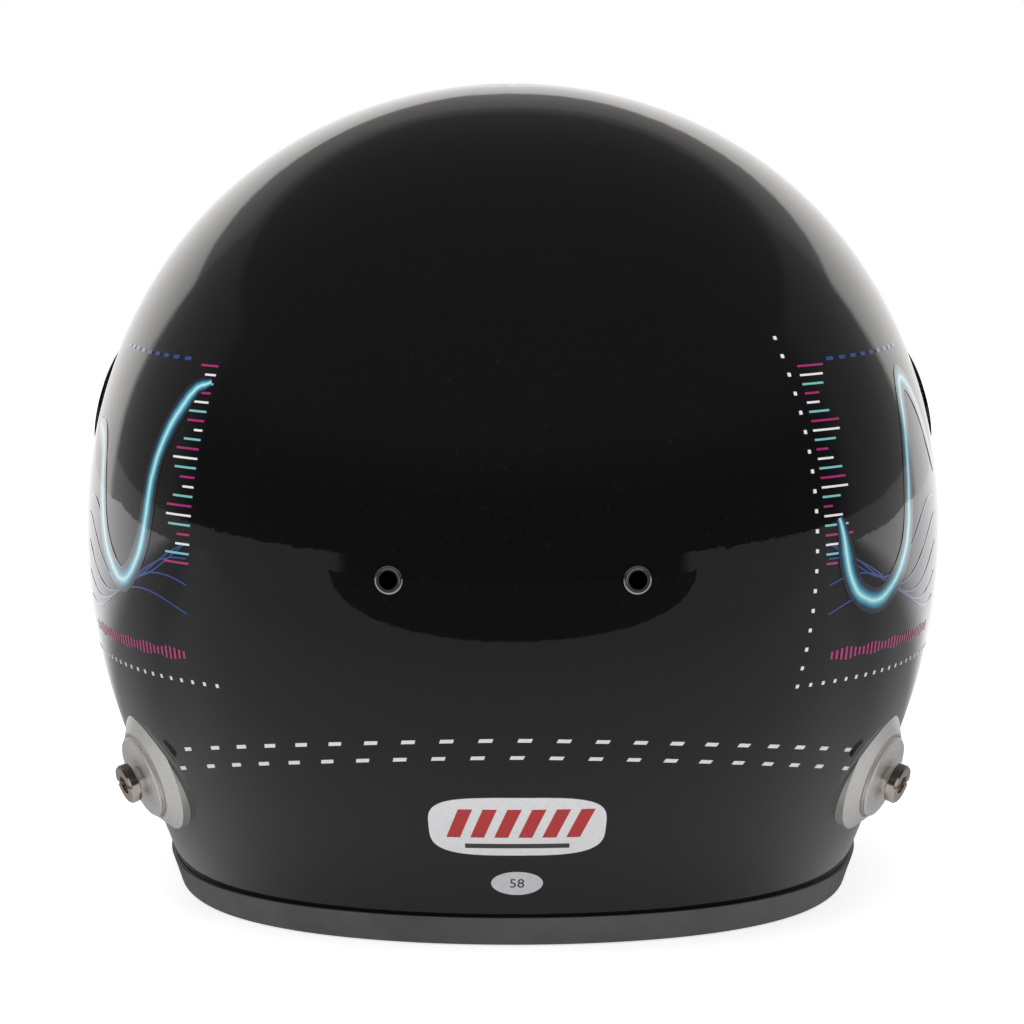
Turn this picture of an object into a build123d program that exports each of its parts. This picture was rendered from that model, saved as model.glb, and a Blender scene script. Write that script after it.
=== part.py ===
from build123d import *
from build123d.topology import SkipClean
import math
import os

# Full-face auto racing helmet, in millimetres.
# +Z is up from the flat bottom of the base trim, the face looks along -Y, +X is the wearer's left.
# Paired pieces are modelled on the left and mirrored to the right.

# Shell form
shell_width = 248.0
shell_height = 233.0
widest_height = 103.0
chin_height = 45.0
rear_reach = 135.0
chin_reach = 176.0
shell_wall = 3.0
squareness_share = 0.05
crown_fullness_share = 0.05
side_taper_shares = (0.23, 0.10, -0.117)
rear_taper_shares = (0.32, 0.60, -0.60)
chin_taper_share = 0.057
section_points = 24
band_sections = 7
crown_sections = 9
form_step = 0.5
form_step_share = 0.002

# Gaps between pieces
soft_gap = 0.3
seat_gap = 0.15
running_gap = 0.05
overrun = 60.0

# Base trim
trim_height = 7.6
trim_floor = 2.0
trim_lip = 1.3

# Face opening, its seal and the visor lens over it
port_top = 168.0
port_bottom = 82.0
port_rear_reach = 85.5
port_rear_top = 147.0
port_rear_bottom = 104.0
port_bend_reach = 120.0
port_bend_top = 163.0
port_bend_bottom = 85.0
port_corner = 15.0
port_bend = 40.0
seal_proud = 1.8
seal_width = 5.0
seal_inner = 1.4
lens_gap = 2.4
lens_thickness = 2.2
lens_overlap = 10.0

# Visor pivots
pivot_reach = 56.0
pivot_height = 138.0
pivot_recess = 5.6
pivot_recess_radius = 19.0
pivot_boss_wall = 4.0
pivot_arm_radius = 15.5
pivot_plate_thickness = 1.2
pivot_hub_radius = 13.2
pivot_hub_web = 3.6
pivot_bush_radius = 6.5
pivot_bush_proud = 0.1
pivot_insert_radius = 5.0
pivot_thread_radius = 3.0
pivot_washer_radius = 9.2
pivot_washer_thickness = 0.8
pivot_screw_head = 7.6
pivot_screw_rise = 2.4
pivot_screw_hex = 4.0
tab_bearing = 24.0
tab_height = 80.0
tab_width = 24.0
tab_tall = 9.0
tab_stand = 5.0
post_height = 118.0
post_reach = 118.0
post_head = 3.8
post_stem = 2.4
post_stand = 3.2

# Impact liners and comfort padding
liner_thickness = 33.0
liner_rear_bottom = 28.0
liner_side_bottom = 101.0
liner_rear_start = 4.0
liner_port_margin = 8.0
crown_pad_thickness = 9.0
chin_liner_thickness = 20.0
chin_liner_bottom = 11.0
chin_liner_top = 72.0
chin_liner_reach = 112.0
cheek_pad_bottom = 40.0
cheek_pad_top = 97.0
cheek_pad_back = 2.0
cheek_pad_front = 106.0
cheek_pad_middle = 63.0
cheek_pad_crown = 8.0
cheek_pad_round = 7.0
neck_roll_height = 18.0
neck_roll_tall = 9.0
neck_roll_deep = 7.5
neck_roll_front = 6.0
neck_roll_end_share = 0.6
neck_roll_stations = 13
snap_radius = 5.0
snap_height = 2.4
snap_heights = (82.0, 52.0, 82.0)
snap_reaches = (88.0, 56.0, 22.0)

# Eyelets at the back and at the brow
eyelet_spacing = 66.0
rear_eyelet_height = 106.0
brow_eyelet_height = 196.0
eyelet_bore = 2.55
eyelet_wall = 0.45
eyelet_flange = 3.95
eyelet_depth = 5.0
air_way_radius = 4.0

# Head-restraint anchors
anchor_height = 40.5
anchor_bearing = 122.5
anchor_heading = 114.0
anchor_dip = 19.0
anchor_plate_radius = 17.4
anchor_edge = 0.8
anchor_rim_height = 3.6
anchor_disc_radius = 12.0
anchor_disc_rise = 1.6
anchor_disc_bevel = 0.5
anchor_groove = 0.6
anchor_neck_radius = 3.6
anchor_neck_length = 1.6
anchor_collar_radius = 4.6
anchor_collar_length = 0.5
anchor_head_radius = 5.75
anchor_head_length = 3.2
anchor_head_bevel = 0.5
anchor_notch = 1.0
anchor_hex = 5.0
anchor_hex_depth = 2.2
anchor_thread_radius = 3.0
anchor_insert_radius = 4.6
anchor_insert_depth = 9.0
anchor_flange_radius = 9.0
anchor_flange_thickness = 1.8

# Chin vent
vent_height = 44.0
vent_tall = 15.0
vent_corner = 5.0
vent_bezel = 3.6
vent_slot = 5.0
vent_slots = 4
vent_lip = 1.8
vent_lip_thickness = 1.1
vent_front_wall = 6.0
vent_back_wall = 2.0
vent_guide = 1.5
mesh_thickness = 1.0
mesh_hole = 1.5
mesh_web = 0.9
shutter_thickness = 1.4
shutter_knob_radius = 2.6
shutter_knob_length = 6.0

# Chin strap
strap_reach = 35.0
strap_pivot_height = 24.0
strap_half_span = 93.0
strap_width = 25.0
strap_thickness = 1.8
strap_low = 5.0
strap_bend = 9.0
strap_end = 9.0
strap_plate_thickness = 1.6
strap_bolt_radius = 3.0
strap_bolt_head = 6.5
strap_bolt_rise = 2.6
strap_bolt_hex = 3.6
strap_journal_radius = 4.0
strap_bush_radius = 6.5
ring_wire = 1.7
ring_side_room = 1.5
ring_length = 13.0
ring_bar_corner = 3.0
ring_bow_corner = 10.0
ring_place = 44.0
tail_end = 24.0
fold_length = 14.0
keeper_place = 6.0
keeper_length = 9.0
keeper_wall = 1.5

# Shares of a piece's own size
screw_edge_share = 0.8
screw_floor_share = 1 / 3
tab_corner_share = 1 / 3
tab_edge_share = 0.2
post_seat_share = 0.75
post_edge_share = 1 / 8
skirt_share = 0.4

# Places and sizes that more than one piece uses
pivot = (-pivot_reach, pivot_height)
strap_pivot = (-strap_reach, strap_pivot_height)
vent_field = vent_slot * (2 * vent_slots - 1)
vent_width = vent_field + 2 * (vent_slot + vent_bezel)
vent_face = -chin_reach + vent_front_wall
vent_window = vent_tall - 2 * vent_bezel
liner_outer = shell_wall + soft_gap
liner_inner = liner_outer + liner_thickness
chin_liner_inner = liner_outer + chin_liner_thickness


def dome(share, fullness_share):
    return math.sqrt(max(0.0, 1 - share**2)) * (1 + fullness_share * share**2)


def taper(share, shares):
    return 1 - sum(part * share ** (power + 2) for power, part in enumerate(shares))


# Half width, rear reach and front reach of the shell form at a height, moved in by an inset
def half_width(z, inset=0):
    if z < widest_height:
        return shell_width / 2 * taper(1 - z / widest_height, side_taper_shares) - inset
    rise = (z - widest_height) / (shell_height - inset - widest_height)
    return (shell_width / 2 - inset) * dome(rise, crown_fullness_share)


def rear_extent(z, inset=0):
    if z < widest_height:
        return rear_reach * taper(1 - z / widest_height, rear_taper_shares) - inset
    rise = (z - widest_height) / (shell_height - inset - widest_height)
    return (rear_reach - inset) * dome(rise, crown_fullness_share)


def front_extent(z, inset=0):
    if z < chin_height:
        return chin_reach * (1 - chin_taper_share * (1 - z / chin_height) ** 2) - inset
    rise = (z - chin_height) / (shell_height - inset - chin_height)
    return (chin_reach - inset) * dome(rise, 0)


# A point of the form at a bearing in degrees, 0 at the face and 180 at the back
def form_point(bearing, z, inset=0):
    angle = math.radians(bearing)
    back, front = rear_extent(z, inset), front_extent(z, inset)
    swell = (math.sin(angle) + squareness_share * math.sin(3 * angle)) / (1 - squareness_share)
    return Vector(half_width(z, inset) * swell, (back - front) / 2 - (back + front) / 2 * math.cos(angle), z)


def bearing_at(y, z, inset=0):
    back, front = rear_extent(z, inset), front_extent(z, inset)
    return math.degrees(math.acos(((back - front) / 2 - y) / ((back + front) / 2)))


# The bearing between two others where the form reaches a distance off the middle plane
def bearing_at_side(x, z, narrow_bearing, wide_bearing=90.0):
    for _ in range(40):
        middle = (narrow_bearing + wide_bearing) / 2
        if form_point(middle, z).X < x:
            narrow_bearing = middle
        else:
            wide_bearing = middle
    return wide_bearing


def side_reach(y, z, inset=0):
    return form_point(bearing_at(y, z, inset), z, inset).X


# A plane that lies on the form, with its Z out of the shell and its Y up along it
def form_plane(bearing, z, inset=0):
    turn, rise = form_step, shell_height * form_step_share
    around = form_point(bearing + turn, z, inset) - form_point(bearing - turn, z, inset)
    upward = form_point(bearing, z + rise, inset) - form_point(bearing, z - rise, inset)
    outward = around.cross(upward).normalized()
    return Plane(form_point(bearing, z, inset), x_dir=Vector(0, 0, 1).cross(outward), z_dir=outward)


# The seat of the left anchor: its axis heads to the side and back, and dips
def anchor_plane():
    heading, dip = math.radians(anchor_heading), math.radians(anchor_dip)
    level = math.cos(dip)
    outward = Vector(level * math.sin(heading), -level * math.cos(heading), -math.sin(dip))
    seat = form_point(anchor_bearing, anchor_height)
    return Plane(seat, x_dir=Vector(0, 0, 1).cross(outward), z_dir=outward)


# The side wall of the form from one height to another, or to the top where no height is given
def form(inset=0, low=trim_floor, high=None):
    if high is None:
        top = shell_height - inset
        heights = [low + (widest_height - low) * row / band_sections for row in range(band_sections)]
        lifts = [math.sin(math.pi / 2 * row / crown_sections) for row in range(crown_sections)]
        heights += [widest_height + (top - widest_height) * lift for lift in lifts]
    else:
        heights = [low + (high - low) * row / band_sections for row in range(band_sections + 1)]
    sections = []
    for z in heights:
        outline = [form_point(360 * i / section_points, z, inset) for i in range(section_points)]
        sections.append(Face(Wire([Edge.make_spline(outline, periodic=True)])))
    if high is None:
        sections.append(Vertex(0, 0, top))
    return loft(sections)


# The layer between two insets of the form, hollow inside
def layer(outer_inset, inner_inset, low=trim_floor, high=None):
    outer = form(outer_inset, low, high).faces().sort_by(Axis.Z)
    inner = form(inner_inset, low, high).faces().sort_by(Axis.Z)
    walls = [Face(outer[0].outer_wire(), [inner[0].outer_wire()]), outer[1], inner[1]]
    if high is not None:
        walls.append(Face(outer[2].outer_wire(), [inner[2].outer_wire()]))
    return Solid(Shell(walls))


def mirrored(shape):
    return mirror(shape, about=Plane.YZ)


def both(*shapes):
    return [*shapes, *(mirrored(shape) for shape in shapes)]


# A solid across the whole width with a side-view outline of Y and Z points
def across(points, radii):
    with BuildSketch(Plane.YZ) as outline:
        with BuildLine():
            path = FilletPolyline(*points, radius=radii, close=False)
            Line(path @ 1, path @ 0)
        make_face()
    return extrude(outline.sketch, shell_width / 2 + overrun, both=True)


# A box from its lowest to its highest corner
def block(low, high):
    size = [b - a for a, b in zip(low, high)]
    return Pos(*[(a + b) / 2 for a, b in zip(low, high)]) * Box(*size)


# A rounded box along Y at the chin vent
def vent_prism(width, tall, corner, start, end):
    with BuildSketch() as outline:
        RectangleRounded(width, tall, corner)
    prism = extrude(outline.sketch, (end - start) / 2, both=True)
    return Pos(0, (start + end) / 2, vent_height) * Rot(90, 0, 0) * prism


# A round bar along X between two distances off the middle plane
def bar(radius, start, end, place):
    return Pos((start + end) / 2, *place) * Rot(0, 90, 0) * Cylinder(radius, end - start)


def tube(radius, bore, start, end, place):
    return bar(radius, start, end, place) - bar(bore, start - overrun, end + overrun, place)


def hex_bar(across_flats, length):
    with BuildSketch() as outline:
        RegularPolygon(across_flats / 2, 6, major_radius=False)
    return extrude(outline.sketch, length)


# The frame's origin lies under the middle of the helmet, from the lens's lower edge to the back
def save(name, *solids):
    placed = [Pos(0, frame_shift, 0) * solid for solid in solids]
    shape = placed[0] if len(placed) == 1 else Compound(children=placed)
    export_step(shape, f"parts/{name}.step")


def save_pair(name, *solids):
    save(f"{name}_left", *solids)
    save(f"{name}_right", *(mirrored(solid) for solid in solids))


# The face opening, or one that is wider all round by a spread
def port_prism(spread=0):
    front = -chin_reach - overrun
    points = [
        (front, port_top + spread),
        (-port_bend_reach, port_bend_top + spread),
        (-port_rear_reach + spread, port_rear_top + spread / 2),
        (-port_rear_reach + spread, port_rear_bottom - spread / 2),
        (-port_bend_reach, port_bend_bottom - spread),
        (front, port_bottom - spread),
    ]
    corner = port_corner + max(spread, 0)
    return across(points, [port_bend, corner, corner, port_bend])


port = port_prism()
lens_foot = port_bottom - lens_overlap
frame_shift = (front_extent(lens_foot, -lens_gap - lens_thickness) - rear_reach) / 2
pivot_surface = side_reach(*pivot)
pivot_seat = pivot_surface - pivot_recess
pad_face = pivot_seat + pivot_plate_thickness + running_gap
hub_face = pad_face + pivot_hub_web
washer_face = hub_face + pivot_bush_proud
anchor = anchor_plane()
eyelets = [
    form_plane(bearing_at_side(eyelet_spacing / 2, rear_eyelet_height, 180), rear_eyelet_height),
    form_plane(bearing_at_side(eyelet_spacing / 2, brow_eyelet_height, 0), brow_eyelet_height),
]
snaps = [
    form_plane(bearing_at(-reach, height, shell_wall), height, shell_wall)
    for reach, height in zip(snap_reaches, snap_heights)
]


def make_outer_shell():
    boss = bar(pivot_recess_radius + pivot_boss_wall, pivot_seat - pivot_boss_wall, pivot_surface + overrun, pivot)
    cavity = form(shell_wall) - both(boss)
    cuts = [
        bar(pivot_recess_radius, pivot_seat, pivot_surface + overrun, pivot),
        bar(pivot_insert_radius + seat_gap, pivot_seat - overrun, pivot_surface + overrun, pivot),
        bar(strap_bolt_radius + running_gap, strap_half_span, shell_width, strap_pivot)
        & form(shell_wall / 2, 0, widest_height),
        anchor * Cylinder(anchor_insert_radius + seat_gap, overrun),
        *(plane * Cylinder(eyelet_bore + eyelet_wall + running_gap, overrun) for plane in eyelets),
    ]
    mouth = vent_prism(
        vent_width + 2 * seat_gap, vent_tall + 2 * seat_gap, vent_corner, -chin_reach - overrun, vent_face
    )
    return form() - cavity - [port, mouth, *both(*cuts)]


def make_base_trim():
    channel = layer(-trim_lip, shell_wall + trim_lip, 0, trim_height)
    return channel - layer(-seat_gap, shell_wall + seat_gap, trim_floor, trim_height + overrun)


# A rubber channel that grips the edge of the face opening
def make_eyeport_seal():
    low, high = port_bottom - overrun / 2, port_top + overrun / 2
    ring = port_prism(seal_width) - port_prism(-seal_inner)
    lips = layer(-seal_proud, shell_wall + seal_inner, low, high) & ring
    return lips - (layer(-seat_gap, shell_wall + seat_gap, low, high) - port_prism(-seat_gap))


def make_visor_lens():
    low, high = port_bottom - overrun / 2, port_top + overrun / 2
    outer = pivot_surface + lens_gap + lens_thickness
    arms = block((-shell_width, -port_rear_reach, pivot_height - pivot_arm_radius),
                 (shell_width, -pivot_reach, pivot_height + pivot_arm_radius))
    arms = arms + both(bar(pivot_arm_radius, pivot_surface - overrun, pivot_surface + overrun, pivot))
    body = form(-lens_gap - lens_thickness, low, high) & (port_prism(lens_overlap) + arms)
    core = form(-lens_gap, low, high) - both(bar(pivot_hub_radius, pad_face, outer + overrun, pivot))
    room = pivot_washer_radius + pivot_hub_web / 2
    bore = bar(pivot_bush_radius + running_gap, pad_face - overrun, outer, pivot)
    return body - core - both(bore, bar(room, hub_face, outer + overrun, pivot))


def make_pivot_plate():
    return tube(pivot_arm_radius, pivot_bush_radius + running_gap,
                pivot_seat, pivot_seat + pivot_plate_thickness, pivot)


def make_pivot_bush():
    return tube(pivot_bush_radius, pivot_thread_radius + running_gap, pivot_seat, washer_face, pivot)


def make_pivot_washer():
    return tube(pivot_washer_radius, pivot_thread_radius + running_gap,
                washer_face, washer_face + pivot_washer_thickness, pivot)


def make_pivot_insert():
    return tube(pivot_insert_radius, pivot_thread_radius + running_gap,
                pivot_seat - pivot_boss_wall, pivot_seat, pivot)


# A domed screw whose head lies along X from its seat, with a hexagon recess
def domed_screw(shank_radius, head_radius, rise, across_flats, tip, seat, place, outward=1):
    head = bar(head_radius, min(seat, seat + outward * rise), max(seat, seat + outward * rise), place)
    edge = head.edges().filter_by(GeomType.CIRCLE).sort_by(Axis.X)[-1 if outward > 0 else 0]
    head = fillet(edge, rise * screw_edge_share)
    shank = bar(shank_radius, min(tip, seat), max(tip, seat), place)
    recess = Pos(seat + outward * rise * screw_floor_share, *place) * Rot(0, outward * 90, 0) * hex_bar(across_flats, rise)
    return head + shank - recess


def make_pivot_screw():
    seat = washer_face + pivot_washer_thickness
    return domed_screw(pivot_thread_radius, pivot_screw_head, pivot_screw_rise, pivot_screw_hex,
                       pivot_seat - pivot_boss_wall, seat, pivot)


# A thumb tab on the lower edge of the lens
def make_visor_tab():
    plane = form_plane(tab_bearing, tab_height, -lens_gap - lens_thickness)
    body = plane * Box(tab_width, tab_tall, 2 * tab_stand)
    body = fillet(body.edges().filter_by(Axis((0, 0, 0), plane.z_dir)), tab_tall * tab_corner_share)
    top = body.faces().sort_by(Axis((0, 0, 0), plane.z_dir))[-1]
    body = fillet(top.edges(), tab_stand * tab_edge_share)
    return body - form(-lens_gap - lens_thickness - running_gap, tab_height - overrun, tab_height + overrun)


def make_tear_off_post():
    inset = -lens_gap - lens_thickness
    plane = form_plane(bearing_at(-post_reach, post_height, inset), post_height, inset)
    seat = post_stand * post_seat_share
    stem = plane * Pos(0, 0, (seat - post_stem) / 2) * Cylinder(post_stem, seat + post_stem)
    head = plane * Pos(0, 0, seat) * Cylinder(post_head, post_stand / 2)
    button = stem + head
    rim = button.edges().filter_by(GeomType.CIRCLE).sort_by(Axis((0, 0, 0), plane.z_dir))[-1]
    button = fillet(rim, post_stand * post_edge_share)
    return button - form(inset - running_gap, post_height - overrun, post_height + overrun)


def air_ways():
    length = 2 * (liner_inner + 2 * crown_pad_thickness)
    return [plane * Cylinder(air_way_radius, length) for plane in eyelets]


# Room in the liners and pads for what the shell carries inside
def inner_rooms():
    return [
        bar(pivot_recess_radius + pivot_boss_wall + soft_gap, pivot_seat - pivot_boss_wall - soft_gap,
            shell_width, pivot),
        anchor * Cylinder(anchor_flange_radius + soft_gap, 2 * (anchor_insert_depth + soft_gap)),
        *air_ways(),
    ]


def make_crown_liner():
    face = block((-shell_width, -chin_reach - overrun, 0), (shell_width, liner_rear_start, liner_side_bottom))
    liner = layer(liner_outer, liner_inner, liner_rear_bottom)
    return liner - [face, port_prism(liner_port_margin), *both(*inner_rooms())]


def make_crown_pad():
    edge = crown_pad_thickness
    face = block((-shell_width, -chin_reach - overrun, 0),
                 (shell_width, liner_rear_start + edge, liner_side_bottom + edge))
    pad = layer(liner_inner + soft_gap, liner_inner + soft_gap + crown_pad_thickness, liner_rear_bottom + edge)
    return pad - [face, port_prism(liner_port_margin + edge), *both(*air_ways())]


def make_chin_liner():
    low, high = chin_liner_bottom, chin_liner_top
    front = block((-shell_width, -chin_reach - overrun, 0), (shell_width, -chin_liner_reach, port_top))
    way = vent_prism(vent_width + 2 * soft_gap, vent_tall + 2 * soft_gap, vent_corner,
                     -chin_reach - overrun, -chin_liner_reach)
    return (layer(liner_outer, chin_liner_inner, low, high) & front) - way


# A cheek pad with a crowned inner face and rounded edges
def make_cheek_pad():
    edge = cheek_pad_middle + cheek_pad_crown
    outside = shell_width / 2 + overrun
    middle = -(cheek_pad_front + cheek_pad_back) / 2
    with BuildSketch(Plane.XY.offset(cheek_pad_bottom)) as outline:
        with BuildLine():
            ThreePointArc((edge, -cheek_pad_back), (cheek_pad_middle, middle), (edge, -cheek_pad_front))
            Polyline((edge, -cheek_pad_front), (outside, -cheek_pad_front), (outside, -cheek_pad_back),
                     (edge, -cheek_pad_back))
        make_face()
    pad = extrude(outline.sketch, cheek_pad_top - cheek_pad_bottom)
    inner_face = pad.faces().sort_by(Axis.X)[0]
    pad = fillet(inner_face.edges(), cheek_pad_round)
    pad = pad & form(liner_outer, cheek_pad_bottom - soft_gap, cheek_pad_top + soft_gap)
    rooms = [plane * Cylinder(snap_radius + soft_gap, 2 * (snap_height + soft_gap)) for plane in snaps]
    return pad - [port_prism(seal_width + soft_gap), *rooms]


def make_cheek_snaps():
    studs = [plane * Pos(0, 0, -snap_height / 2) * Cylinder(snap_radius, snap_height) for plane in snaps]
    wall = form(shell_wall + running_gap, cheek_pad_bottom - snap_radius, cheek_pad_top + snap_radius)
    return [stud & wall for stud in studs]


# A padded roll round the back of the rim, thinner at its two ends
def make_neck_roll():
    inset = liner_outer + neck_roll_deep
    start = bearing_at(-neck_roll_front, neck_roll_height, inset)
    sections = []
    for i in range(neck_roll_stations):
        bearing = start + (360 - 2 * start) * i / (neck_roll_stations - 1)
        ahead = form_point(bearing + form_step, neck_roll_height, inset)
        ahead -= form_point(bearing - form_step, neck_roll_height, inset)
        centre = form_point(bearing, neck_roll_height, inset)
        size_share = neck_roll_end_share if i in (0, neck_roll_stations - 1) else 1
        plane = Plane(centre, x_dir=Vector(0, 0, 1).cross(ahead), z_dir=ahead)
        sections.append(plane * Ellipse(neck_roll_deep * size_share, neck_roll_tall * size_share))
    low = neck_roll_height - neck_roll_tall - soft_gap
    return loft(sections) & form(liner_outer, low, neck_roll_height + neck_roll_tall + soft_gap)


# A rolled metal eyelet: a tube through the shell under a rounded flange
def make_eyelet(plane, height):
    roll = (eyelet_flange - eyelet_bore) / 2
    length = eyelet_depth + roll
    barrel = Cylinder(eyelet_bore + eyelet_wall, length) - Cylinder(eyelet_bore, length)
    rim = plane * Torus(eyelet_bore + roll, roll) - form(-running_gap, height - overrun / 4, height + overrun / 4)
    return rim + plane * Pos(0, 0, roll - length / 2) * barrel


# A wide cone with a stepped disc on top, fitted to the shell below
def make_anchor_plate():
    skirt = anchor_plate_radius * skirt_share
    rise = anchor_rim_height - anchor_edge
    rim = Pos(0, 0, (anchor_edge - skirt) / 2) * Cylinder(anchor_plate_radius, anchor_edge + skirt)
    rim += Pos(0, 0, anchor_edge + rise / 2) * Cone(anchor_plate_radius, anchor_disc_radius + 2 * anchor_groove, rise)
    top = anchor_rim_height + anchor_disc_rise
    disc = Pos(0, 0, top / 2) * Cylinder(anchor_disc_radius, top)
    disc = chamfer(disc.edges().sort_by(Axis.Z)[-1], anchor_disc_bevel)
    groove = Pos(0, 0, anchor_rim_height) * (
        Cylinder(anchor_disc_radius + anchor_groove, 2 * anchor_groove)
        - Cylinder(anchor_disc_radius, 2 * anchor_groove)
    )
    plate = anchor * (rim + disc - groove - Cylinder(anchor_thread_radius + running_gap, 2 * overrun))
    return plate - form(-running_gap, 0, widest_height)


# A post with a neck, a thin collar and a notched head for the restraint clip
def make_anchor_post():
    face = anchor_rim_height + anchor_disc_rise
    lengths = (anchor_neck_length, anchor_collar_length, anchor_head_length)
    radii = (anchor_neck_radius, anchor_collar_radius, anchor_head_radius)
    post = Pos(0, 0, (face - anchor_insert_depth) / 2) * Cylinder(anchor_thread_radius, face + anchor_insert_depth)
    foot = face
    for length, radius in zip(lengths, radii):
        step = Pos(0, 0, foot + length / 2) * Cylinder(radius, length)
        if radius == anchor_head_radius:
            step = chamfer(step.edges().filter_by(GeomType.CIRCLE), anchor_head_bevel)
        post += step
        foot += length
    recess = Pos(0, 0, foot - anchor_hex_depth) * hex_bar(anchor_hex, anchor_hex_depth + overrun)
    notch = Pos(0, 0, foot) * Box(2 * anchor_head_radius + overrun, anchor_notch, anchor_notch)
    return anchor * (post - recess - notch)


# A flanged nut inside the shell for the post
def make_anchor_insert():
    barrel = Pos(0, 0, -anchor_insert_depth / 2) * Cylinder(anchor_insert_radius, anchor_insert_depth)
    barrel = anchor * barrel & form(-running_gap, 0, widest_height)
    flange_low = shell_wall + 2 * anchor_flange_thickness
    flange = anchor * Pos(0, 0, -flange_low / 2) * Cylinder(anchor_flange_radius, flange_low)
    flange = flange & form(shell_wall + running_gap, 0, widest_height)
    return barrel + flange - anchor * Cylinder(anchor_thread_radius + running_gap, 2 * overrun)


def make_vent_frame():
    low, high = vent_height - vent_tall, vent_height + vent_tall
    mesh_back = vent_face + mesh_thickness
    guide_back = mesh_back + shutter_thickness + 2 * running_gap
    back = guide_back + vent_back_wall
    front = -chin_reach - overrun
    outer = form(-vent_lip_thickness, low, high)
    body = vent_prism(vent_width, vent_tall, vent_corner, front, back) & outer
    lip = vent_prism(vent_width + 2 * vent_lip, vent_tall + 2 * vent_lip, vent_corner + vent_lip,
                     front, vent_face) & outer
    lip -= form(-running_gap, low, high)
    frame = body + lip
    for i in range(vent_slots):
        left = -vent_field / 2 + 2 * vent_slot * i
        frame -= block((left, front, vent_height - vent_window / 2),
                       (left + vent_slot, vent_face, vent_height + vent_window / 2))
    room = vent_window / 2 + vent_guide
    frame -= block((-vent_field / 2 - vent_guide, vent_face, vent_height - room),
                   (vent_field / 2 + vent_slot + vent_guide, guide_back, vent_height + room))
    return frame - block((-vent_field / 2, guide_back, vent_height - vent_window / 2),
                         (vent_field / 2 + vent_slot, back, vent_height + vent_window / 2))


def make_vent_mesh():
    room = vent_window / 2 + vent_guide - seat_gap
    plate = block((-vent_field / 2 - vent_guide + seat_gap, vent_face, vent_height - room),
                  (vent_field / 2 + vent_slot + vent_guide - seat_gap, vent_face + mesh_thickness,
                   vent_height + room))
    pitch = mesh_hole + mesh_web
    columns = int((vent_slot - mesh_web) / pitch)
    rows = int((vent_window - mesh_web) / pitch)
    holes = []
    for slot in range(vent_slots):
        middle = -vent_field / 2 + vent_slot * (2 * slot + 0.5)
        for column in range(columns):
            for row in range(rows):
                x = middle + pitch * (column - (columns - 1) / 2)
                z = vent_height + pitch * (row - (rows - 1) / 2)
                holes.append(Pos(x, vent_face, z) * Box(mesh_hole, 4 * mesh_thickness, mesh_hole))
    return plate - holes


# A slotted slide behind the mesh: closed at rest, open one slot width along +X
def make_vent_shutter():
    face = vent_face + mesh_thickness + running_gap
    room = vent_window / 2 + vent_guide - running_gap
    slide = block((-vent_field / 2 - vent_guide + seat_gap, face, vent_height - room),
                  (vent_field / 2 + vent_guide - seat_gap, face + shutter_thickness, vent_height + room))
    for i in range(vent_slots - 1):
        left = -vent_field / 2 + vent_slot * (2 * i + 1)
        slide -= block((left + seat_gap, face - overrun, vent_height - vent_window / 2),
                       (left + vent_slot - seat_gap, face + overrun, vent_height + vent_window / 2))
    knob = Rot(90, 0, 0) * Cylinder(shutter_knob_radius, shutter_knob_length)
    return slide + Pos(0, face + shutter_thickness + shutter_knob_length / 2, vent_height) * knob


# A ribbon across the width whose middle line is a list of X and Z points
def ribbon(points, radii, width=strap_width):
    with BuildSketch(Plane.XZ) as outline:
        with BuildLine():
            path = FilletPolyline(*points, radius=radii, close=False)
        trace(path, strap_thickness)
    return Pos(0, -strap_reach, 0) * extrude(outline.sketch, width / 2, both=True)


strap_place = strap_half_span - strap_thickness / 2
layer_rise = strap_thickness + soft_gap
ring_heights = [
    strap_low + strap_thickness / 2 + soft_gap + ring_wire + row * (2 * ring_wire + soft_gap) for row in (0, 1)
]
wire_room = ring_wire + soft_gap + strap_thickness / 2
loop_top = ring_heights[1] + wire_room
ring_bow_place = -ring_place + ring_length + 2 * ring_wire


def strap_hole():
    return bar(strap_journal_radius + running_gap, 0, shell_width, strap_pivot)


# The long webbing: from the left bolt, under both rings, up through them and back over their bows
def make_strap_left():
    rise = -ring_place + wire_room + layer_rise
    fall = ring_bow_place + wire_room
    path = [
        (strap_place, strap_pivot_height + strap_end),
        (strap_place, strap_low),
        (rise, strap_low),
        (rise, loop_top),
        (fall, loop_top),
        (fall, strap_low + layer_rise),
        (tail_end, strap_low + layer_rise),
    ]
    return ribbon(path, [strap_bend, *[strap_thickness] * 4]) - strap_hole()


# The short webbing, folded round the straight bars of both rings and sewn to itself
def make_strap_right():
    inner, outer = -ring_place + wire_room, -ring_place - wire_room
    path = [
        (-strap_place, strap_pivot_height + strap_end),
        (-strap_place, strap_low),
        (inner, strap_low),
        (inner, loop_top),
        (outer, loop_top),
        (outer, strap_low + layer_rise),
        (outer - fold_length, strap_low + layer_rise),
    ]
    return ribbon(path, [strap_bend, *[strap_thickness] * 4]) - mirrored(strap_hole())


# A wire ring lying flat, with a straight bar at one end and a bowed one at the other
def make_ring(height):
    half = strap_width / 2 + ring_side_room + ring_wire
    points = [
        (-ring_place, half),
        (ring_bow_place, half),
        (ring_bow_place, -half),
        (-ring_place, -half),
    ]
    radii = [ring_bar_corner, ring_bow_corner, ring_bow_corner, ring_bar_corner]
    path = FilletPolyline(*points, radius=radii, close=True)
    section = Plane(path @ 0, z_dir=path % 0) * Circle(ring_wire)
    return Pos(0, -strap_reach, height) * sweep(section, path=path)


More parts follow.
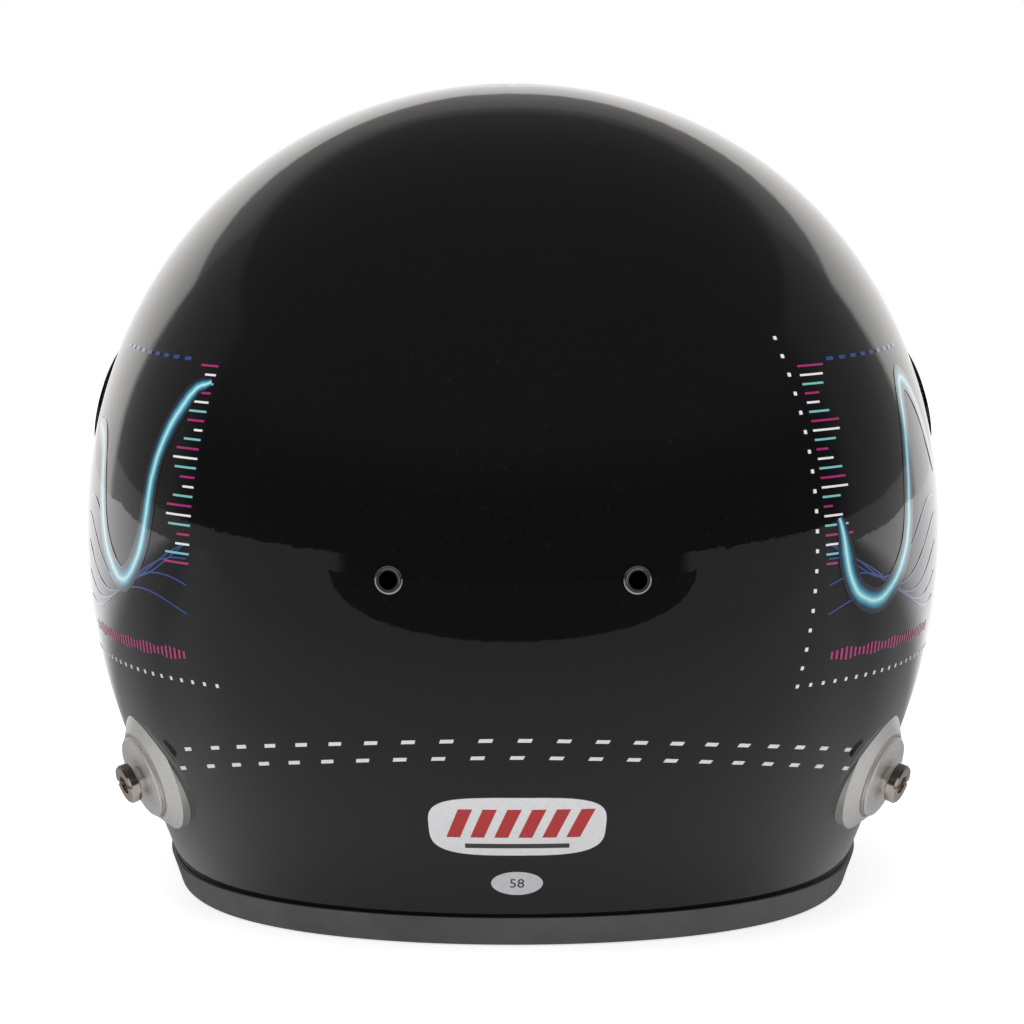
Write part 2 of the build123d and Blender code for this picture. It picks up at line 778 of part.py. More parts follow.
# A loop that holds the tail down on the webbing
def make_strap_keeper():
    low = strap_low - strap_thickness / 2 - soft_gap
    high = strap_low + layer_rise + strap_thickness / 2 + soft_gap
    side = strap_width / 2 + soft_gap
    outside = block((keeper_place, -side - keeper_wall, low - keeper_wall),
                    (keeper_place + keeper_length, side + keeper_wall, high + keeper_wall))
    outside = fillet(outside.edges().filter_by(Axis.X), keeper_wall)
    inside = block((keeper_place - overrun, -side, low), (keeper_place + overrun, side, high))
    return Pos(0, -strap_reach, 0) * (outside - inside)


def make_strap_plate():
    return tube(strap_end, strap_journal_radius + running_gap,
                strap_half_span, strap_half_span + strap_plate_thickness, strap_pivot)


# A flanged bush that the webbing and its plate turn on, seated on the shell's inner wall
def make_strap_bush():
    end = strap_half_span - strap_thickness - running_gap
    flange = strap_half_span + strap_plate_thickness + running_gap
    foot = bar(strap_bush_radius, flange, shell_width / 2, strap_pivot)
    foot = foot & form(shell_wall + running_gap, 0, widest_height)
    journal = bar(strap_journal_radius, end, flange, strap_pivot)
    return foot + journal - bar(strap_bolt_radius + running_gap, 0, shell_width, strap_pivot)


def make_strap_bolt():
    seat = strap_half_span - strap_thickness - running_gap
    bolt = domed_screw(strap_bolt_radius, strap_bolt_head, strap_bolt_rise, strap_bolt_hex,
                       shell_width / 2, seat, strap_pivot, -1)
    return bolt & form(shell_wall / 2 + running_gap, 0, widest_height)


os.makedirs("parts", exist_ok=True)
with SkipClean():
    save("outer_shell", make_outer_shell())
    save("base_trim", make_base_trim())
    save("eyeport_seal", make_eyeport_seal())
    save("crown_liner", make_crown_liner())
    save("crown_pad", make_crown_pad())
    save("chin_liner", make_chin_liner())
    save_pair("cheek_pad", make_cheek_pad())
    save_pair("cheek_pad_snaps", *make_cheek_snaps())
    save("neck_roll", make_neck_roll())
    save_pair("rear_eyelet", make_eyelet(eyelets[0], rear_eyelet_height))
    save_pair("brow_eyelet", make_eyelet(eyelets[1], brow_eyelet_height))
    save_pair("anchor_plate", make_anchor_plate())
    save_pair("anchor_post", make_anchor_post())
    save_pair("anchor_insert", make_anchor_insert())
    save_pair("pivot_plate", make_pivot_plate())
    save_pair("pivot_bush", make_pivot_bush())
    save_pair("pivot_washer", make_pivot_washer())
    save_pair("pivot_screw", make_pivot_screw())
    save_pair("pivot_insert", make_pivot_insert())
    save("visor_lens", make_visor_lens())
    save("visor_tab", make_visor_tab())
    save_pair("tear_off_post", make_tear_off_post())
    save("chin_vent_frame", make_vent_frame())
    save("chin_vent_mesh", make_vent_mesh())
    save("chin_vent_shutter", make_vent_shutter())
    save("strap_left", make_strap_left())
    save("strap_right", make_strap_right())
    for name, height in zip(("lower", "upper"), ring_heights):
        save(f"d_ring_{name}", make_ring(height))
    save("strap_keeper", make_strap_keeper())
    save_pair("strap_plate", make_strap_plate())
    save_pair("strap_bush", make_strap_bush())
    save_pair("strap_bolt", make_strap_bolt())
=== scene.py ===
import math

import bmesh
import bpy
import numpy as np
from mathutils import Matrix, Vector
from mathutils.bvhtree import BVHTree
from mathutils.geometry import tessellate_polygon
from mathutils.kdtree import KDTree


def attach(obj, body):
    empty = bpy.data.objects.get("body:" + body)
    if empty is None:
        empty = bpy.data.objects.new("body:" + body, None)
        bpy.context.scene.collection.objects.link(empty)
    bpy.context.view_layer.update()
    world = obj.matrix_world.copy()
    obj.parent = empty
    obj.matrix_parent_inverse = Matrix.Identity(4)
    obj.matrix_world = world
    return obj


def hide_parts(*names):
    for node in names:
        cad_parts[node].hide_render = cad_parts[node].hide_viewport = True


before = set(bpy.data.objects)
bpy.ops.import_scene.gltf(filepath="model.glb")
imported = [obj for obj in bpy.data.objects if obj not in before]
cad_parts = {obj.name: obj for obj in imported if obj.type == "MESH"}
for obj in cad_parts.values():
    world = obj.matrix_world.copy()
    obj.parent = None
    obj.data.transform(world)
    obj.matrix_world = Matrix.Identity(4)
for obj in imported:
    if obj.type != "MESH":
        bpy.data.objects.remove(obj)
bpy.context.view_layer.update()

# Auto racing helmet, in metres. +Z is up, the face looks along -Y, +X is the wearer's left.
# A bearing runs round the shell in degrees: 0 at the face, 90 at the wearer's left, 180 at the back.

# Sizes of the shell form
shell_width, shell_height = 0.248, 0.233
widest_height, chin_height = 0.103, 0.045
rear_reach, chin_reach = 0.135, 0.176
side_taper, rear_taper, chin_taper = (0.23, 0.10, -0.117), (0.32, 0.60, -0.60), 0.057
squareness, crown_fullness = 0.05, 0.05
frame_shift = 0.0219083
shell_thickness, lens_gap, lens_thickness = 0.003, 0.0024, 0.0022
sides = ("left", "right")

# Limits for meshes: points nearer than the gap are joined, and edges over the crease angles stay sharp
join_gap = 0.000002
node_crease, print_crease = math.radians(32), math.radians(40)

# Faces of a printed layer, over and under the shell's surface
print_proud, print_sunk = 0.00008, -0.00005


# Points and normals of the shell form

def run_along(points):
    """Distance along a line of points, from its first."""
    return np.concatenate([[0], np.cumsum(np.linalg.norm(np.diff(points, axis=0), axis=1))])


def to_unit(rows):
    return rows / np.linalg.norm(rows, axis=-1, keepdims=True)


def taper(share, shares):
    return 1 - sum(part * share ** (power + 2) for power, part in enumerate(shares))


def reaches(z, inset=0.0):
    """Half width, rear reach and front reach of the shell form at heights."""
    low = 1 - z / widest_height
    rise = np.clip((z - widest_height) / (shell_height - inset - widest_height), 0, 1)
    crown = np.sqrt(1 - rise**2) * (1 + crown_fullness * rise**2)
    front_rise = np.clip((z - chin_height) / (shell_height - inset - chin_height), 0, 1)
    below = z < widest_height
    half = np.where(below, shell_width / 2 * taper(low, side_taper) - inset,
                    (shell_width / 2 - inset) * crown)
    back = np.where(below, rear_reach * taper(low, rear_taper) - inset, (rear_reach - inset) * crown)
    front = np.where(z < chin_height, chin_reach * (1 - chin_taper * (1 - z / chin_height) ** 2) - inset,
                     (chin_reach - inset) * np.sqrt(1 - front_rise**2))
    return half, back, front


def shell_point(bearing, z, inset=0.0):
    bearing, z = np.broadcast_arrays(np.asarray(bearing, float), np.asarray(z, float))
    angle = np.radians(bearing)
    half, back, front = reaches(z, inset)
    swell = (np.sin(angle) + squareness * np.sin(3 * angle)) / (1 - squareness)
    y = (back - front) / 2 - (back + front) / 2 * np.cos(angle) + frame_shift
    return np.stack([half * swell, y, z], -1)


def shell_normal(bearing, z, inset=0.0):
    turn, rise = 0.2, 0.0001
    z = np.clip(z, 2 * rise, shell_height - inset - 2 * rise)
    around = shell_point(bearing + turn, z, inset) - shell_point(bearing - turn, z, inset)
    upward = shell_point(bearing, z + rise, inset) - shell_point(bearing, z - rise, inset)
    return to_unit(np.cross(around, upward))


def shell_bearing(points, inset=0.0):
    half, back, front = reaches(np.minimum(points[:, 2], shell_height - inset - 0.00005), inset)
    along = ((back - front) / 2 + frame_shift - points[:, 1]) / ((back + front) / 2)
    across = points[:, 0] / half
    angle = np.arctan2(across, along)
    for _ in range(6):
        angle = np.arctan2(across * (1 - squareness) - squareness * np.sin(3 * angle), along)
    return np.degrees(angle)


class Layout:
    """A flat layout laid on the shell from a bearing and a height: u to the right from outside, v up."""

    def __init__(self, bearing, height):
        self.bearings = np.linspace(bearing - 130, bearing + 130, 1301)
        self.heights = np.linspace(0.001, 0.2325, 900)
        around = run_along(shell_point(self.bearings, height))
        upward = run_along(shell_point(bearing, self.heights))
        self.around = around - np.interp(bearing, self.bearings, around)
        self.upward = upward - np.interp(height, self.heights, upward)

    def place(self, uv, proud=0.0):
        uv = np.asarray(uv, float).reshape(-1, 2)
        bearing = np.interp(uv[:, 0], self.around, self.bearings)
        height = np.interp(uv[:, 1], self.upward, self.heights)
        return shell_point(bearing, height) + proud * shell_normal(bearing, height)


# Materials

class Nodes:
    """Short calls that build a shader tree."""

    def __init__(self, tree):
        self.tree = tree

    def add(self, kind, inputs=None, **settings):
        node = self.tree.nodes.new("ShaderNode" + kind)
        for key, value in settings.items():
            setattr(node, key, value)
        for key, value in (inputs or {}).items():
            self.feed(node.inputs[key], value)
        return node

    def feed(self, socket, value):
        if isinstance(value, bpy.types.NodeSocket):
            self.tree.links.new(value, socket)
        else:
            socket.default_value = value

    def math(self, operation, a, b=0.0):
        return self.add("Math", {0: a, 1: b}, operation=operation).outputs[0]

    def plus(self, a, b):
        return self.math("ADD", a, b)

    def times(self, a, b):
        return self.math("MULTIPLY", a, b)

    def spread(self, value, low, high, start=0.0, end=1.0, **settings):
        return self.add("MapRange", {"Value": value, "From Min": start, "From Max": end,
                                     "To Min": low, "To Max": high}, **settings).outputs["Result"]


class Finish(Nodes):
    """A node material with one Principled shader. Plain numbers are set on the shader's own sockets."""

    def __init__(self, name, **plain):
        self.material = bpy.data.materials.new(name)
        self.material.use_nodes = True
        super().__init__(self.material.node_tree)
        self.shader = self.tree.nodes["Principled BSDF"]
        for socket, value in plain.items():
            self.set(socket.replace("_", " ").title().replace("Ior", "IOR"), value)

    def set(self, socket, value):
        self.feed(self.shader.inputs[socket], value)

    def place(self, scale=(1, 1, 1), turn=(0, 0, 0), shift=(0, 0, 0), source="Object"):
        coordinates = self.add("TexCoord").outputs[source]
        mapping = self.add("Mapping", {"Vector": coordinates, "Location": shift, "Rotation": turn, "Scale": scale})
        return mapping.outputs["Vector"]

    def noise(self, where, scale, detail=3.0, roughness=0.55):
        return self.add("TexNoise", {"Vector": where, "Scale": scale, "Detail": detail,
                                     "Roughness": roughness}).outputs["Fac"]

    def cells(self, where, scale, feature="F1"):
        return self.add("TexVoronoi", {"Vector": where, "Scale": scale}, feature=feature).outputs["Distance"]

    def wave(self, where, scale, distortion, direction):
        return self.add("TexWave", {"Vector": where, "Scale": scale, "Distortion": distortion},
                        wave_type="BANDS", bands_direction=direction).outputs["Fac"]

    def tone(self, share, first, second):
        return self.add("Mix", {0: share, 6: (*first, 1), 7: (*second, 1)}, data_type="RGBA").outputs[2]

    def ramp(self, share, *stops):
        node = self.add("ValToRGB", {"Fac": share})
        while len(node.color_ramp.elements) < len(stops):
            node.color_ramp.elements.new(0.5)
        for element, (place, colour) in zip(node.color_ramp.elements, stops):
            element.position, element.color = place, (*colour, 1)
        return node.outputs["Color"]

    def bump(self, height, distance, strength=1.0):
        return self.add("Bump", {"Height": height, "Distance": distance, "Strength": strength}).outputs["Normal"]

    def relief(self, height, distance, strength=1.0):
        self.set("Normal", self.bump(height, distance, strength))


def dimmed(colour, share):
    return tuple(share * c for c in colour)


def gloss_lacquer(name, colour, fleck):
    """Clear coat over a plain colour: a faint orange-peel ripple and a little uneven polish."""
    f = Finish(name, roughness=0.32, specular_ior_level=0.05, coat_weight=1.0, coat_roughness=0.012, coat_ior=1.5)
    where = f.place()
    f.set("Base Color", f.tone(f.spread(f.noise(where, 900, 2), 0, 1, 0.62, 0.7), colour, fleck))
    f.set("Coat Normal", f.bump(f.plus(f.noise(where, 95, 2), f.noise(where, 380, 2)), 0.000012))
    f.set("Roughness", f.spread(f.noise(where, 30, 4), 0.26, 0.40))
    return f.material


def printed(name, colour, second=None):
    """Ink under the clear coat."""
    f = Finish(name, coat_weight=1.0, coat_roughness=0.02, coat_ior=1.5)
    where = f.place()
    darker = second or dimmed(colour, 0.92)
    f.set("Base Color", f.tone(f.spread(f.noise(where, 700, 3), 0, 1, 0.35, 0.75), colour, darker))
    f.set("Roughness", f.spread(f.noise(where, 240, 3), 0.22 - 0.05, 0.22 + 0.08))
    f.relief(f.noise(where, 380, 2), 0.000008)
    return f.material


def moulded(name, colour, rough=0.45, grain=1500, depth=0.00003):
    """Moulded plastic or rubber with a fine spark-eroded grain and paler rubbed spots."""
    f = Finish(name, ior=1.5)
    where = f.place()
    wear = f.spread(f.noise(where, 55, 5), 0, 1, 0.35, 0.75)
    f.set("Base Color", f.tone(wear, colour, tuple(min(1, 1.35 * c + 0.006) for c in colour)))
    f.set("Roughness", f.spread(f.noise(where, 160, 4), rough - 0.08, rough + 0.12))
    f.relief(f.plus(f.cells(where, grain), f.noise(where, grain / 2, 2)), depth)
    return f.material


def metal(name, colour, rough=0.2, scratch=0.00001, stretch=(1, 1, 30), body=0.75):
    """Machined metal: fine tool lines, uneven polish and a slight stain."""
    f = Finish(name, metallic=body, anisotropic=0.25)
    where = f.place()
    lines = f.noise(f.place(scale=stretch), 700, 4)
    stain = f.spread(f.noise(where, 120, 4), 0, 1, 0.35, 0.7)
    f.set("Base Color", f.tone(stain, colour, dimmed(colour, 0.84)))
    polish = f.times(lines, f.noise(where, 90, 3))
    f.set("Roughness", f.spread(polish, rough - 0.06, rough + 0.22, 0.1, 0.5))
    f.relief(lines, scratch)
    return f.material


def turned(name, colour, centre, axis, rough=0.3):
    """Metal faced on a lathe: fine rings about an axis through a centre."""
    f = Finish(name, metallic=0.62, anisotropic=0.85)
    turn = Vector(axis).rotation_difference(Vector((0, 0, 1))).to_euler()
    where = f.place(turn=turn, shift=-(turn.to_matrix() @ Vector(centre)))
    x, y, _ = f.add("SeparateXYZ", {"Vector": where}).outputs
    radius = f.math("POWER", f.plus(f.math("POWER", x, 2.0), f.math("POWER", y, 2.0)), 0.5)
    around = f.math("ARCTAN2", y, x)
    ring_place = f.add("CombineXYZ", {"X": f.times(radius, 9000.0), "Y": f.times(around, 0.6), "Z": 0.0})
    rings = f.noise(ring_place.outputs["Vector"], 1.0, 3, 0.7)
    place = f.add("TexCoord").outputs["Object"]
    outward = f.add("VectorMath", {0: place, 1: centre}, operation="SUBTRACT").outputs[0]
    tangent = f.add("VectorMath", {0: axis, 1: outward}, operation="CROSS_PRODUCT").outputs[0]
    f.set("Tangent", f.add("VectorMath", {0: tangent}, operation="NORMALIZE").outputs[0])
    f.set("Base Color", f.tone(f.spread(rings, 0, 1, 0.3, 0.75), colour, dimmed(colour, 0.8)))
    polish = f.times(rings, f.noise(f.place(), 150, 3))
    f.set("Roughness", f.spread(polish, rough - 0.05, rough + 0.12, 0.1, 0.5))
    f.relief(rings, 0.000008)
    return f.material


def knit(name, colour, second, pitch=0.0011, sheen=0.35):
    """Knitted or brushed cloth: loops in two directions, fuzz, and paler worn patches."""
    f = Finish(name, sheen_weight=sheen, sheen_roughness=0.45, ior=1.45)
    where = f.place()
    slanted = f.wave(f.place(turn=(0, 0, 0.35)), 1 / pitch / 6.28, 1.2, "DIAGONAL")
    loops = f.times(slanted, f.wave(where, 1 / pitch / 7.5, 1.5, "Z"))
    fuzz = f.noise(where, 2600, 4, 0.7)
    patch = f.noise(where, 28, 4)
    f.set("Base Color", f.tone(f.spread(f.plus(loops, patch), 0, 1, 0.4, 1.35), colour, second))
    f.set("Roughness", f.spread(fuzz, 0.78, 0.98))
    f.relief(f.plus(loops, f.times(fuzz, 0.6)), 0.00028, 0.9)
    return f.material


def bead_foam(name, colour):
    """Expanded bead foam: rounded cells a few millimetres wide with sunk joints."""
    f = Finish(name, ior=1.45, sheen_weight=0.08)
    where = f.place()
    shade = f.spread(f.cells(where, 300, "DISTANCE_TO_EDGE"), 0, 1, 0.0, 0.22)
    f.set("Base Color", f.tone(shade, dimmed(colour, 0.5), colour))
    f.set("Roughness", f.spread(f.noise(where, 700, 3), 0.62, 0.85))
    f.relief(f.plus(shade, f.times(f.noise(where, 1800, 2), 0.2)), 0.00035, 0.8)
    return f.material


def webbing_cloth(name, colour, second):
    """Woven webbing: ribs and slanted yarns across its own U and V, in metres."""
    f = Finish(name, sheen_weight=0.25, sheen_roughness=0.4, ior=1.45)
    rib_pitch, yarn_pitch = 0.0013, 0.0016
    where = f.place(source="UV")
    ribs = f.wave(where, 1 / rib_pitch / 6.28 * 3.14, 0.4, "X")
    yarns = f.wave(f.place(source="UV", turn=(0, 0, 0.9)), 1 / yarn_pitch / 6.28 * 3.14, 0.8, "Y")
    fuzz = f.noise(where, 2200, 4, 0.7)
    f.set("Base Color", f.tone(f.spread(f.times(ribs, yarns), 0, 1, 0.1, 0.9), colour, second))
    f.set("Roughness", f.spread(fuzz, 0.55, 0.85))
    f.relief(f.plus(f.plus(ribs, yarns), f.times(fuzz, 0.3)), 0.00022, 0.9)
    return f.material


def smoked_lens(name):
    """Tinted polycarbonate with a hard coat, faint rub marks and a thin haze."""
    f = Finish(name, base_color=(0.16, 0.165, 0.18, 1), transmission_weight=1.0, ior=1.52, coat_weight=0.5,
               coat_roughness=0.01)
    marks = f.noise(f.place(scale=(1, 1, 18), turn=(0.5, 0, 0)), 60, 5, 0.7)
    f.set("Roughness", f.spread(marks, 0.005, 0.05, 0.4, 0.8))
    f.relief(f.noise(f.place(), 45, 2), 0.00001)
    return f.material


def glow_print(name, *stops):
    """Printed light line: its colour runs across the band by V, and wavers along it."""
    f = Finish(name, roughness=0.2, coat_weight=1.0, coat_roughness=0.02)
    split = f.add("SeparateXYZ", {"Vector": f.add("TexCoord").outputs["UV"]})
    wobble = f.math("SUBTRACT", f.noise(f.place(), 90, 3), 0.5)
    f.set("Base Color", f.ramp(f.plus(split.outputs["Y"], f.times(wobble, 0.22)), *stops))
    f.relief(f.noise(f.place(), 380, 2), 0.000008)
    return f.material


shell_black = gloss_lacquer("shell_black_lacquer", (0.0035, 0.0035, 0.0038), (0.007, 0.007, 0.008))
rim_rubber = moulded("rim_rubber", (0.084, 0.081, 0.082), 0.5)
port_rubber = moulded("port_rubber", (0.012, 0.012, 0.012), 0.62, 1100, 0.00005)
black_plastic = moulded("black_plastic", (0.014, 0.014, 0.015), 0.4)
dark_anodised = metal("dark_anodised", (0.16, 0.16, 0.165), 0.3)
satin_alloy = metal("satin_alloy", (0.62, 0.62, 0.63), 0.26)
polished_steel = metal("polished_steel", (0.80, 0.78, 0.76), 0.08, 0.000002, (1, 1, 6), 1.0)
warm_steel = metal("warm_steel", (0.84, 0.77, 0.70), 0.08, 0.000003, body=1.0)
ring_wire_steel = metal("ring_wire_steel", (0.70, 0.70, 0.69), 0.12, 0.000005)
punched_steel = metal("punched_steel", (0.22, 0.22, 0.22), 0.34)
black_foam = bead_foam("black_bead_foam", (0.030, 0.030, 0.032))
lining_knit = knit("lining_knit", (0.018, 0.018, 0.020), (0.045, 0.045, 0.05))
roll_suede = knit("roll_suede", (0.014, 0.014, 0.015), (0.032, 0.032, 0.034), 0.0008, 0.5)
black_webbing = webbing_cloth("black_webbing", (0.012, 0.012, 0.013), (0.034, 0.034, 0.037))
thread_white = knit("thread_white", (0.62, 0.62, 0.60), (0.48, 0.48, 0.46), 0.0004, 0.2)
visor_smoke = smoked_lens("visor_smoke")
ink_white = printed("ink_white", (0.88, 0.88, 0.89))
ink_plate = printed("ink_plate", (0.93, 0.93, 0.94))
ink_size = printed("ink_size", (0.72, 0.72, 0.75))
ink_red = printed("ink_red", (0.56, 0.012, 0.014))
ink_dark = printed("ink_dark", (0.012, 0.012, 0.013), (0.03, 0.03, 0.032))
ink_magenta = printed("ink_magenta", (0.42, 0.016, 0.155))
ink_cyan = printed("ink_cyan", (0.20, 0.56, 0.58))
ink_blue = printed("ink_blue", (0.012, 0.055, 0.24))
night, deep, mid, pale = (0.0035, 0.0035, 0.004), (0.004, 0.02, 0.05), (0.03, 0.24, 0.36), (0.14, 0.56, 0.64)
glow_cyan = glow_print("glow_cyan", (0.0, night), (0.18, deep), (0.30, mid), (0.41, pale),
                       (0.5, (0.66, 0.88, 0.88)), (0.60, pale), (0.70, mid), (0.84, deep), (1.0, night))


# Mesh helpers

def add_object(name, data):
    piece = bpy.data.objects.new(name, data)
    bpy.context.scene.collection.objects.link(piece)
    return piece


def as_mesh(piece):
    """The mesh that a piece shows with its modifiers, as plain data."""
    bpy.context.view_layer.update()
    return bpy.data.meshes.new_from_object(piece.evaluated_get(bpy.context.evaluated_depsgraph_get()))


def values_of(items, key, width=3, kind=float):
    """One value of each mesh item, as an array."""
    values = np.zeros(width * len(items), kind)
    items.foreach_get(key, values)
    return values.reshape(-1, width) if width > 1 else values


def set_places(mesh, places):
    mesh.vertices.foreach_set("co", places.ravel())
    mesh.update()


def shade(mesh, smooth=True):
    mesh.polygons.foreach_set("use_smooth", [smooth] * len(mesh.polygons))


def paint(mesh, material):
    mesh.materials.clear()
    mesh.materials.append(material)


def new_piece(name, points, faces, material, uv=None, smooth=True):
    mesh = bpy.data.meshes.new(name)
    mesh.from_pydata([tuple(p) for p in points], [], [tuple(f) for f in faces])
    if uv is not None:
        layer = mesh.uv_layers.new(name="UVMap")
        corners = values_of(mesh.loops, "vertex_index", 1, np.int32)
        layer.data.foreach_set("uv", np.asarray(uv, np.float32)[corners].ravel())
    mesh.materials.append(material)
    shade(mesh, smooth)
    mesh.update()
    return add_object(name, mesh)


def merged_copy(node, name, material):
    """A copy of a CAD node's mesh with its loose triangles joined and its sharp edges kept sharp."""
    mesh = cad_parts[node].data.copy()
    mesh.name = name
    bm = bmesh.new()
    bm.from_mesh(mesh)
    bmesh.ops.remove_doubles(bm, verts=bm.verts, dist=join_gap)
    bm.to_mesh(mesh)
    bm.free()
    shade(mesh)
    mesh.set_sharp_from_angle(angle=node_crease)
    paint(mesh, material)
    return add_object(name, mesh)


def follow_form(piece, insets):
    """Gives the faces that lie on the shell form its exact normals, so that gloss runs without a ripple."""
    reach, cosine = 0.0004, 0.9
    mesh = piece.data
    points = values_of(mesh.vertices, "co")
    corners = values_of(mesh.loops, "vertex_index", 1, np.int32)
    totals = values_of(mesh.polygons, "loop_total", 1, np.int32)
    faces = np.repeat(values_of(mesh.polygons, "normal"), totals, axis=0)
    normals = values_of(mesh.corner_normals, "vector", 3, np.float32)
    for inset, way in insets:
        bearing = shell_bearing(points, inset)
        height = np.minimum(points[:, 2], shell_height - inset - 0.0002)
        near = np.linalg.norm(shell_point(bearing, height, inset) - points, axis=1) < reach
        outward = way * shell_normal(bearing, height, inset)
        outward[points[:, 2] > shell_height - inset - 0.0003] = (0, 0, way)
        facing = (outward[corners] * faces).sum(1) > cosine
        chosen = near[corners] & facing
        normals[chosen] = outward[corners][chosen]
    mesh.normals_split_custom_set(normals.tolist())


def node_group(name, *sockets):
    """A geometry node group with named inputs after its mesh, and its input and output nodes."""
    tree = bpy.data.node_groups.new(name, "GeometryNodeTree")
    for label, kind, *value in (("Geometry", "Geometry"), *sockets):
        socket = tree.interface.new_socket(label, in_out="INPUT", socket_type="NodeSocket" + kind)
        if value:
            socket.default_value = value[0]
    tree.interface.new_socket("Geometry", in_out="OUTPUT", socket_type="NodeSocketGeometry")
    return tree, tree.nodes.new("NodeGroupInput"), tree.nodes.new("NodeGroupOutput")


def join_nodes(tree, *links):
    for source, output, target, socket in links:
        tree.links.new(source.outputs[output], target.inputs[socket])


def even_shading():
    """Joins a CAD node's loose triangles and shades it smooth up to a sharp angle."""
    tree, start, end = node_group("even_shading", ("Join distance", "Float", join_gap),
                                  ("Sharp angle", "Float", node_crease))
    new = tree.nodes.new
    join, edge = new("GeometryNodeMergeByDistance"), new("GeometryNodeInputMeshEdgeAngle")
    over = new("FunctionNodeCompare")
    soft, sharp = new("GeometryNodeSetShadeSmooth"), new("GeometryNodeSetShadeSmooth")
    over.operation = "GREATER_THAN"
    soft.domain, sharp.domain = "FACE", "EDGE"
    sharp.inputs["Shade Smooth"].default_value = False
    join_nodes(tree, (start, "Geometry", join, "Geometry"), (start, "Join distance", join, "Distance"),
               (edge, "Unsigned Angle", over, 0), (start, "Sharp angle", over, 1),
               (join, "Geometry", soft, "Geometry"), (soft, "Geometry", sharp, "Geometry"),
               (over, "Result", sharp, "Selection"), (sharp, "Geometry", end, "Geometry"))
    return tree


def dress_node(node, material):
    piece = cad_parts[node]
    paint(piece.data, material)
    piece.modifiers.new("even_shading", "NODES").node_group = shading_tree


def repeat_tree():
    """Sets a unit on every point of a mesh, laid by the point's own along and outward directions."""
    tree, start, end = node_group("repeat_on_points", ("Unit", "Object"), ("Length", "Float"), ("Width", "Float"),
                                  ("Height", "Float"), ("Finish", "Material"), ("Seed", "Int"),
                                  ("Unevenness", "Float"))
    new = tree.nodes.new
    along, outward = new("GeometryNodeInputNamedAttribute"), new("GeometryNodeInputNamedAttribute")
    for node, name in ((along, "along"), (outward, "outward")):
        node.data_type = "FLOAT_VECTOR"
        node.inputs["Name"].default_value = name
    first, second = new("FunctionNodeAlignRotationToVector"), new("FunctionNodeAlignRotationToVector")
    first.axis, second.axis, second.pivot_axis = "X", "Z", "X"
    unit, sow = new("GeometryNodeObjectInfo"), new("GeometryNodeInstanceOnPoints")
    size, chance, scaled = new("ShaderNodeCombineXYZ"), new("FunctionNodeRandomValue"), new("ShaderNodeVectorMath")
    less, more = new("ShaderNodeMath"), new("ShaderNodeMath")
    less.operation, more.operation, scaled.operation = "SUBTRACT", "ADD", "SCALE"
    less.inputs[0].default_value = more.inputs[0].default_value = 1.0
    real, cover = new("GeometryNodeRealizeInstances"), new("GeometryNodeSetMaterial")
    lowest, highest = [i for i, s in enumerate(chance.inputs) if s.type == "VALUE"][:2]
    drawn = [i for i, s in enumerate(chance.outputs) if s.type == "VALUE"][0]
    join_nodes(tree, (along, "Attribute", first, "Vector"), (first, "Rotation", second, "Rotation"),
               (outward, "Attribute", second, "Vector"), (start, "Unit", unit, "Object"),
               (start, "Length", size, "X"), (start, "Width", size, "Y"), (start, "Height", size, "Z"),
               (start, "Unevenness", less, 1), (start, "Unevenness", more, 1),
               (less, 0, chance, lowest), (more, 0, chance, highest), (start, "Seed", chance, "Seed"),
               (size, "Vector", scaled, 0), (chance, drawn, scaled, "Scale"),
               (start, "Geometry", sow, "Points"), (unit, "Geometry", sow, "Instance"),
               (second, "Rotation", sow, "Rotation"), (scaled, "Vector", sow, "Scale"),
               (sow, "Instances", real, "Geometry"), (real, "Geometry", cover, "Geometry"),
               (start, "Finish", cover, "Material"), (cover, "Geometry", end, "Geometry"))
    return tree


def repeat_units(name, unit, points, along, outward, size, material, body="root", seed=1, unevenness=0.0):
    """Bakes a row of units into one plain mesh that rides on a body."""
    mesh = bpy.data.meshes.new(name + "_points")
    mesh.from_pydata([tuple(p) for p in points], [], [])
    for key, values in (("along", along), ("outward", outward)):
        layer = mesh.attributes.new(key, "FLOAT_VECTOR", "POINT")
        layer.data.foreach_set("vector", np.asarray(values, np.float32).ravel())
    row = add_object(name + "_points", mesh)
    modifier = row.modifiers.new("repeat", "NODES")
    modifier.node_group = unit_tree
    known = {s.name: s.identifier for s in unit_tree.interface.items_tree if s.in_out == "INPUT"}
    for key, value in (("Unit", unit), ("Length", size[0]), ("Width", size[1]), ("Height", size[2]),
                       ("Finish", material), ("Seed", seed), ("Unevenness", unevenness)):
        modifier[known[key]] = value
    baked_mesh = as_mesh(row)
    row.modifiers.clear()
    bpy.data.objects.remove(row)
    baked_mesh.name = name
    paint(baked_mesh, material)
    piece = add_object(name, baked_mesh)
    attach(piece, body)


def ring_faces(rows, count, closed=False):
    """Quads between rows of a tube, with its two ends shut unless it closes on itself."""
    faces = []
    for i in range(rows if closed else rows - 1):
        for k in range(count):
            a, b = i * count + k, i * count + (k + 1) % count
            faces.append((a, b, (b + count) % (rows * count), (a + count) % (rows * count)))
    if not closed:
        faces += [tuple(reversed(range(count))), tuple(range((rows - 1) * count, rows * count))]
    return faces


def unit_shape(name, outline, rise_steps):
    """A unit solid: an outline in X and Y, drawn in towards its top in steps of (height, share)."""
    points = [(x * share, y * share, height) for height, share in rise_steps for x, y in outline]
    piece = new_piece(name, points, ring_faces(len(rise_steps), len(outline)), ink_white)
    piece.data.set_sharp_from_angle(angle=print_crease)
    piece.hide_render = True
    return piece


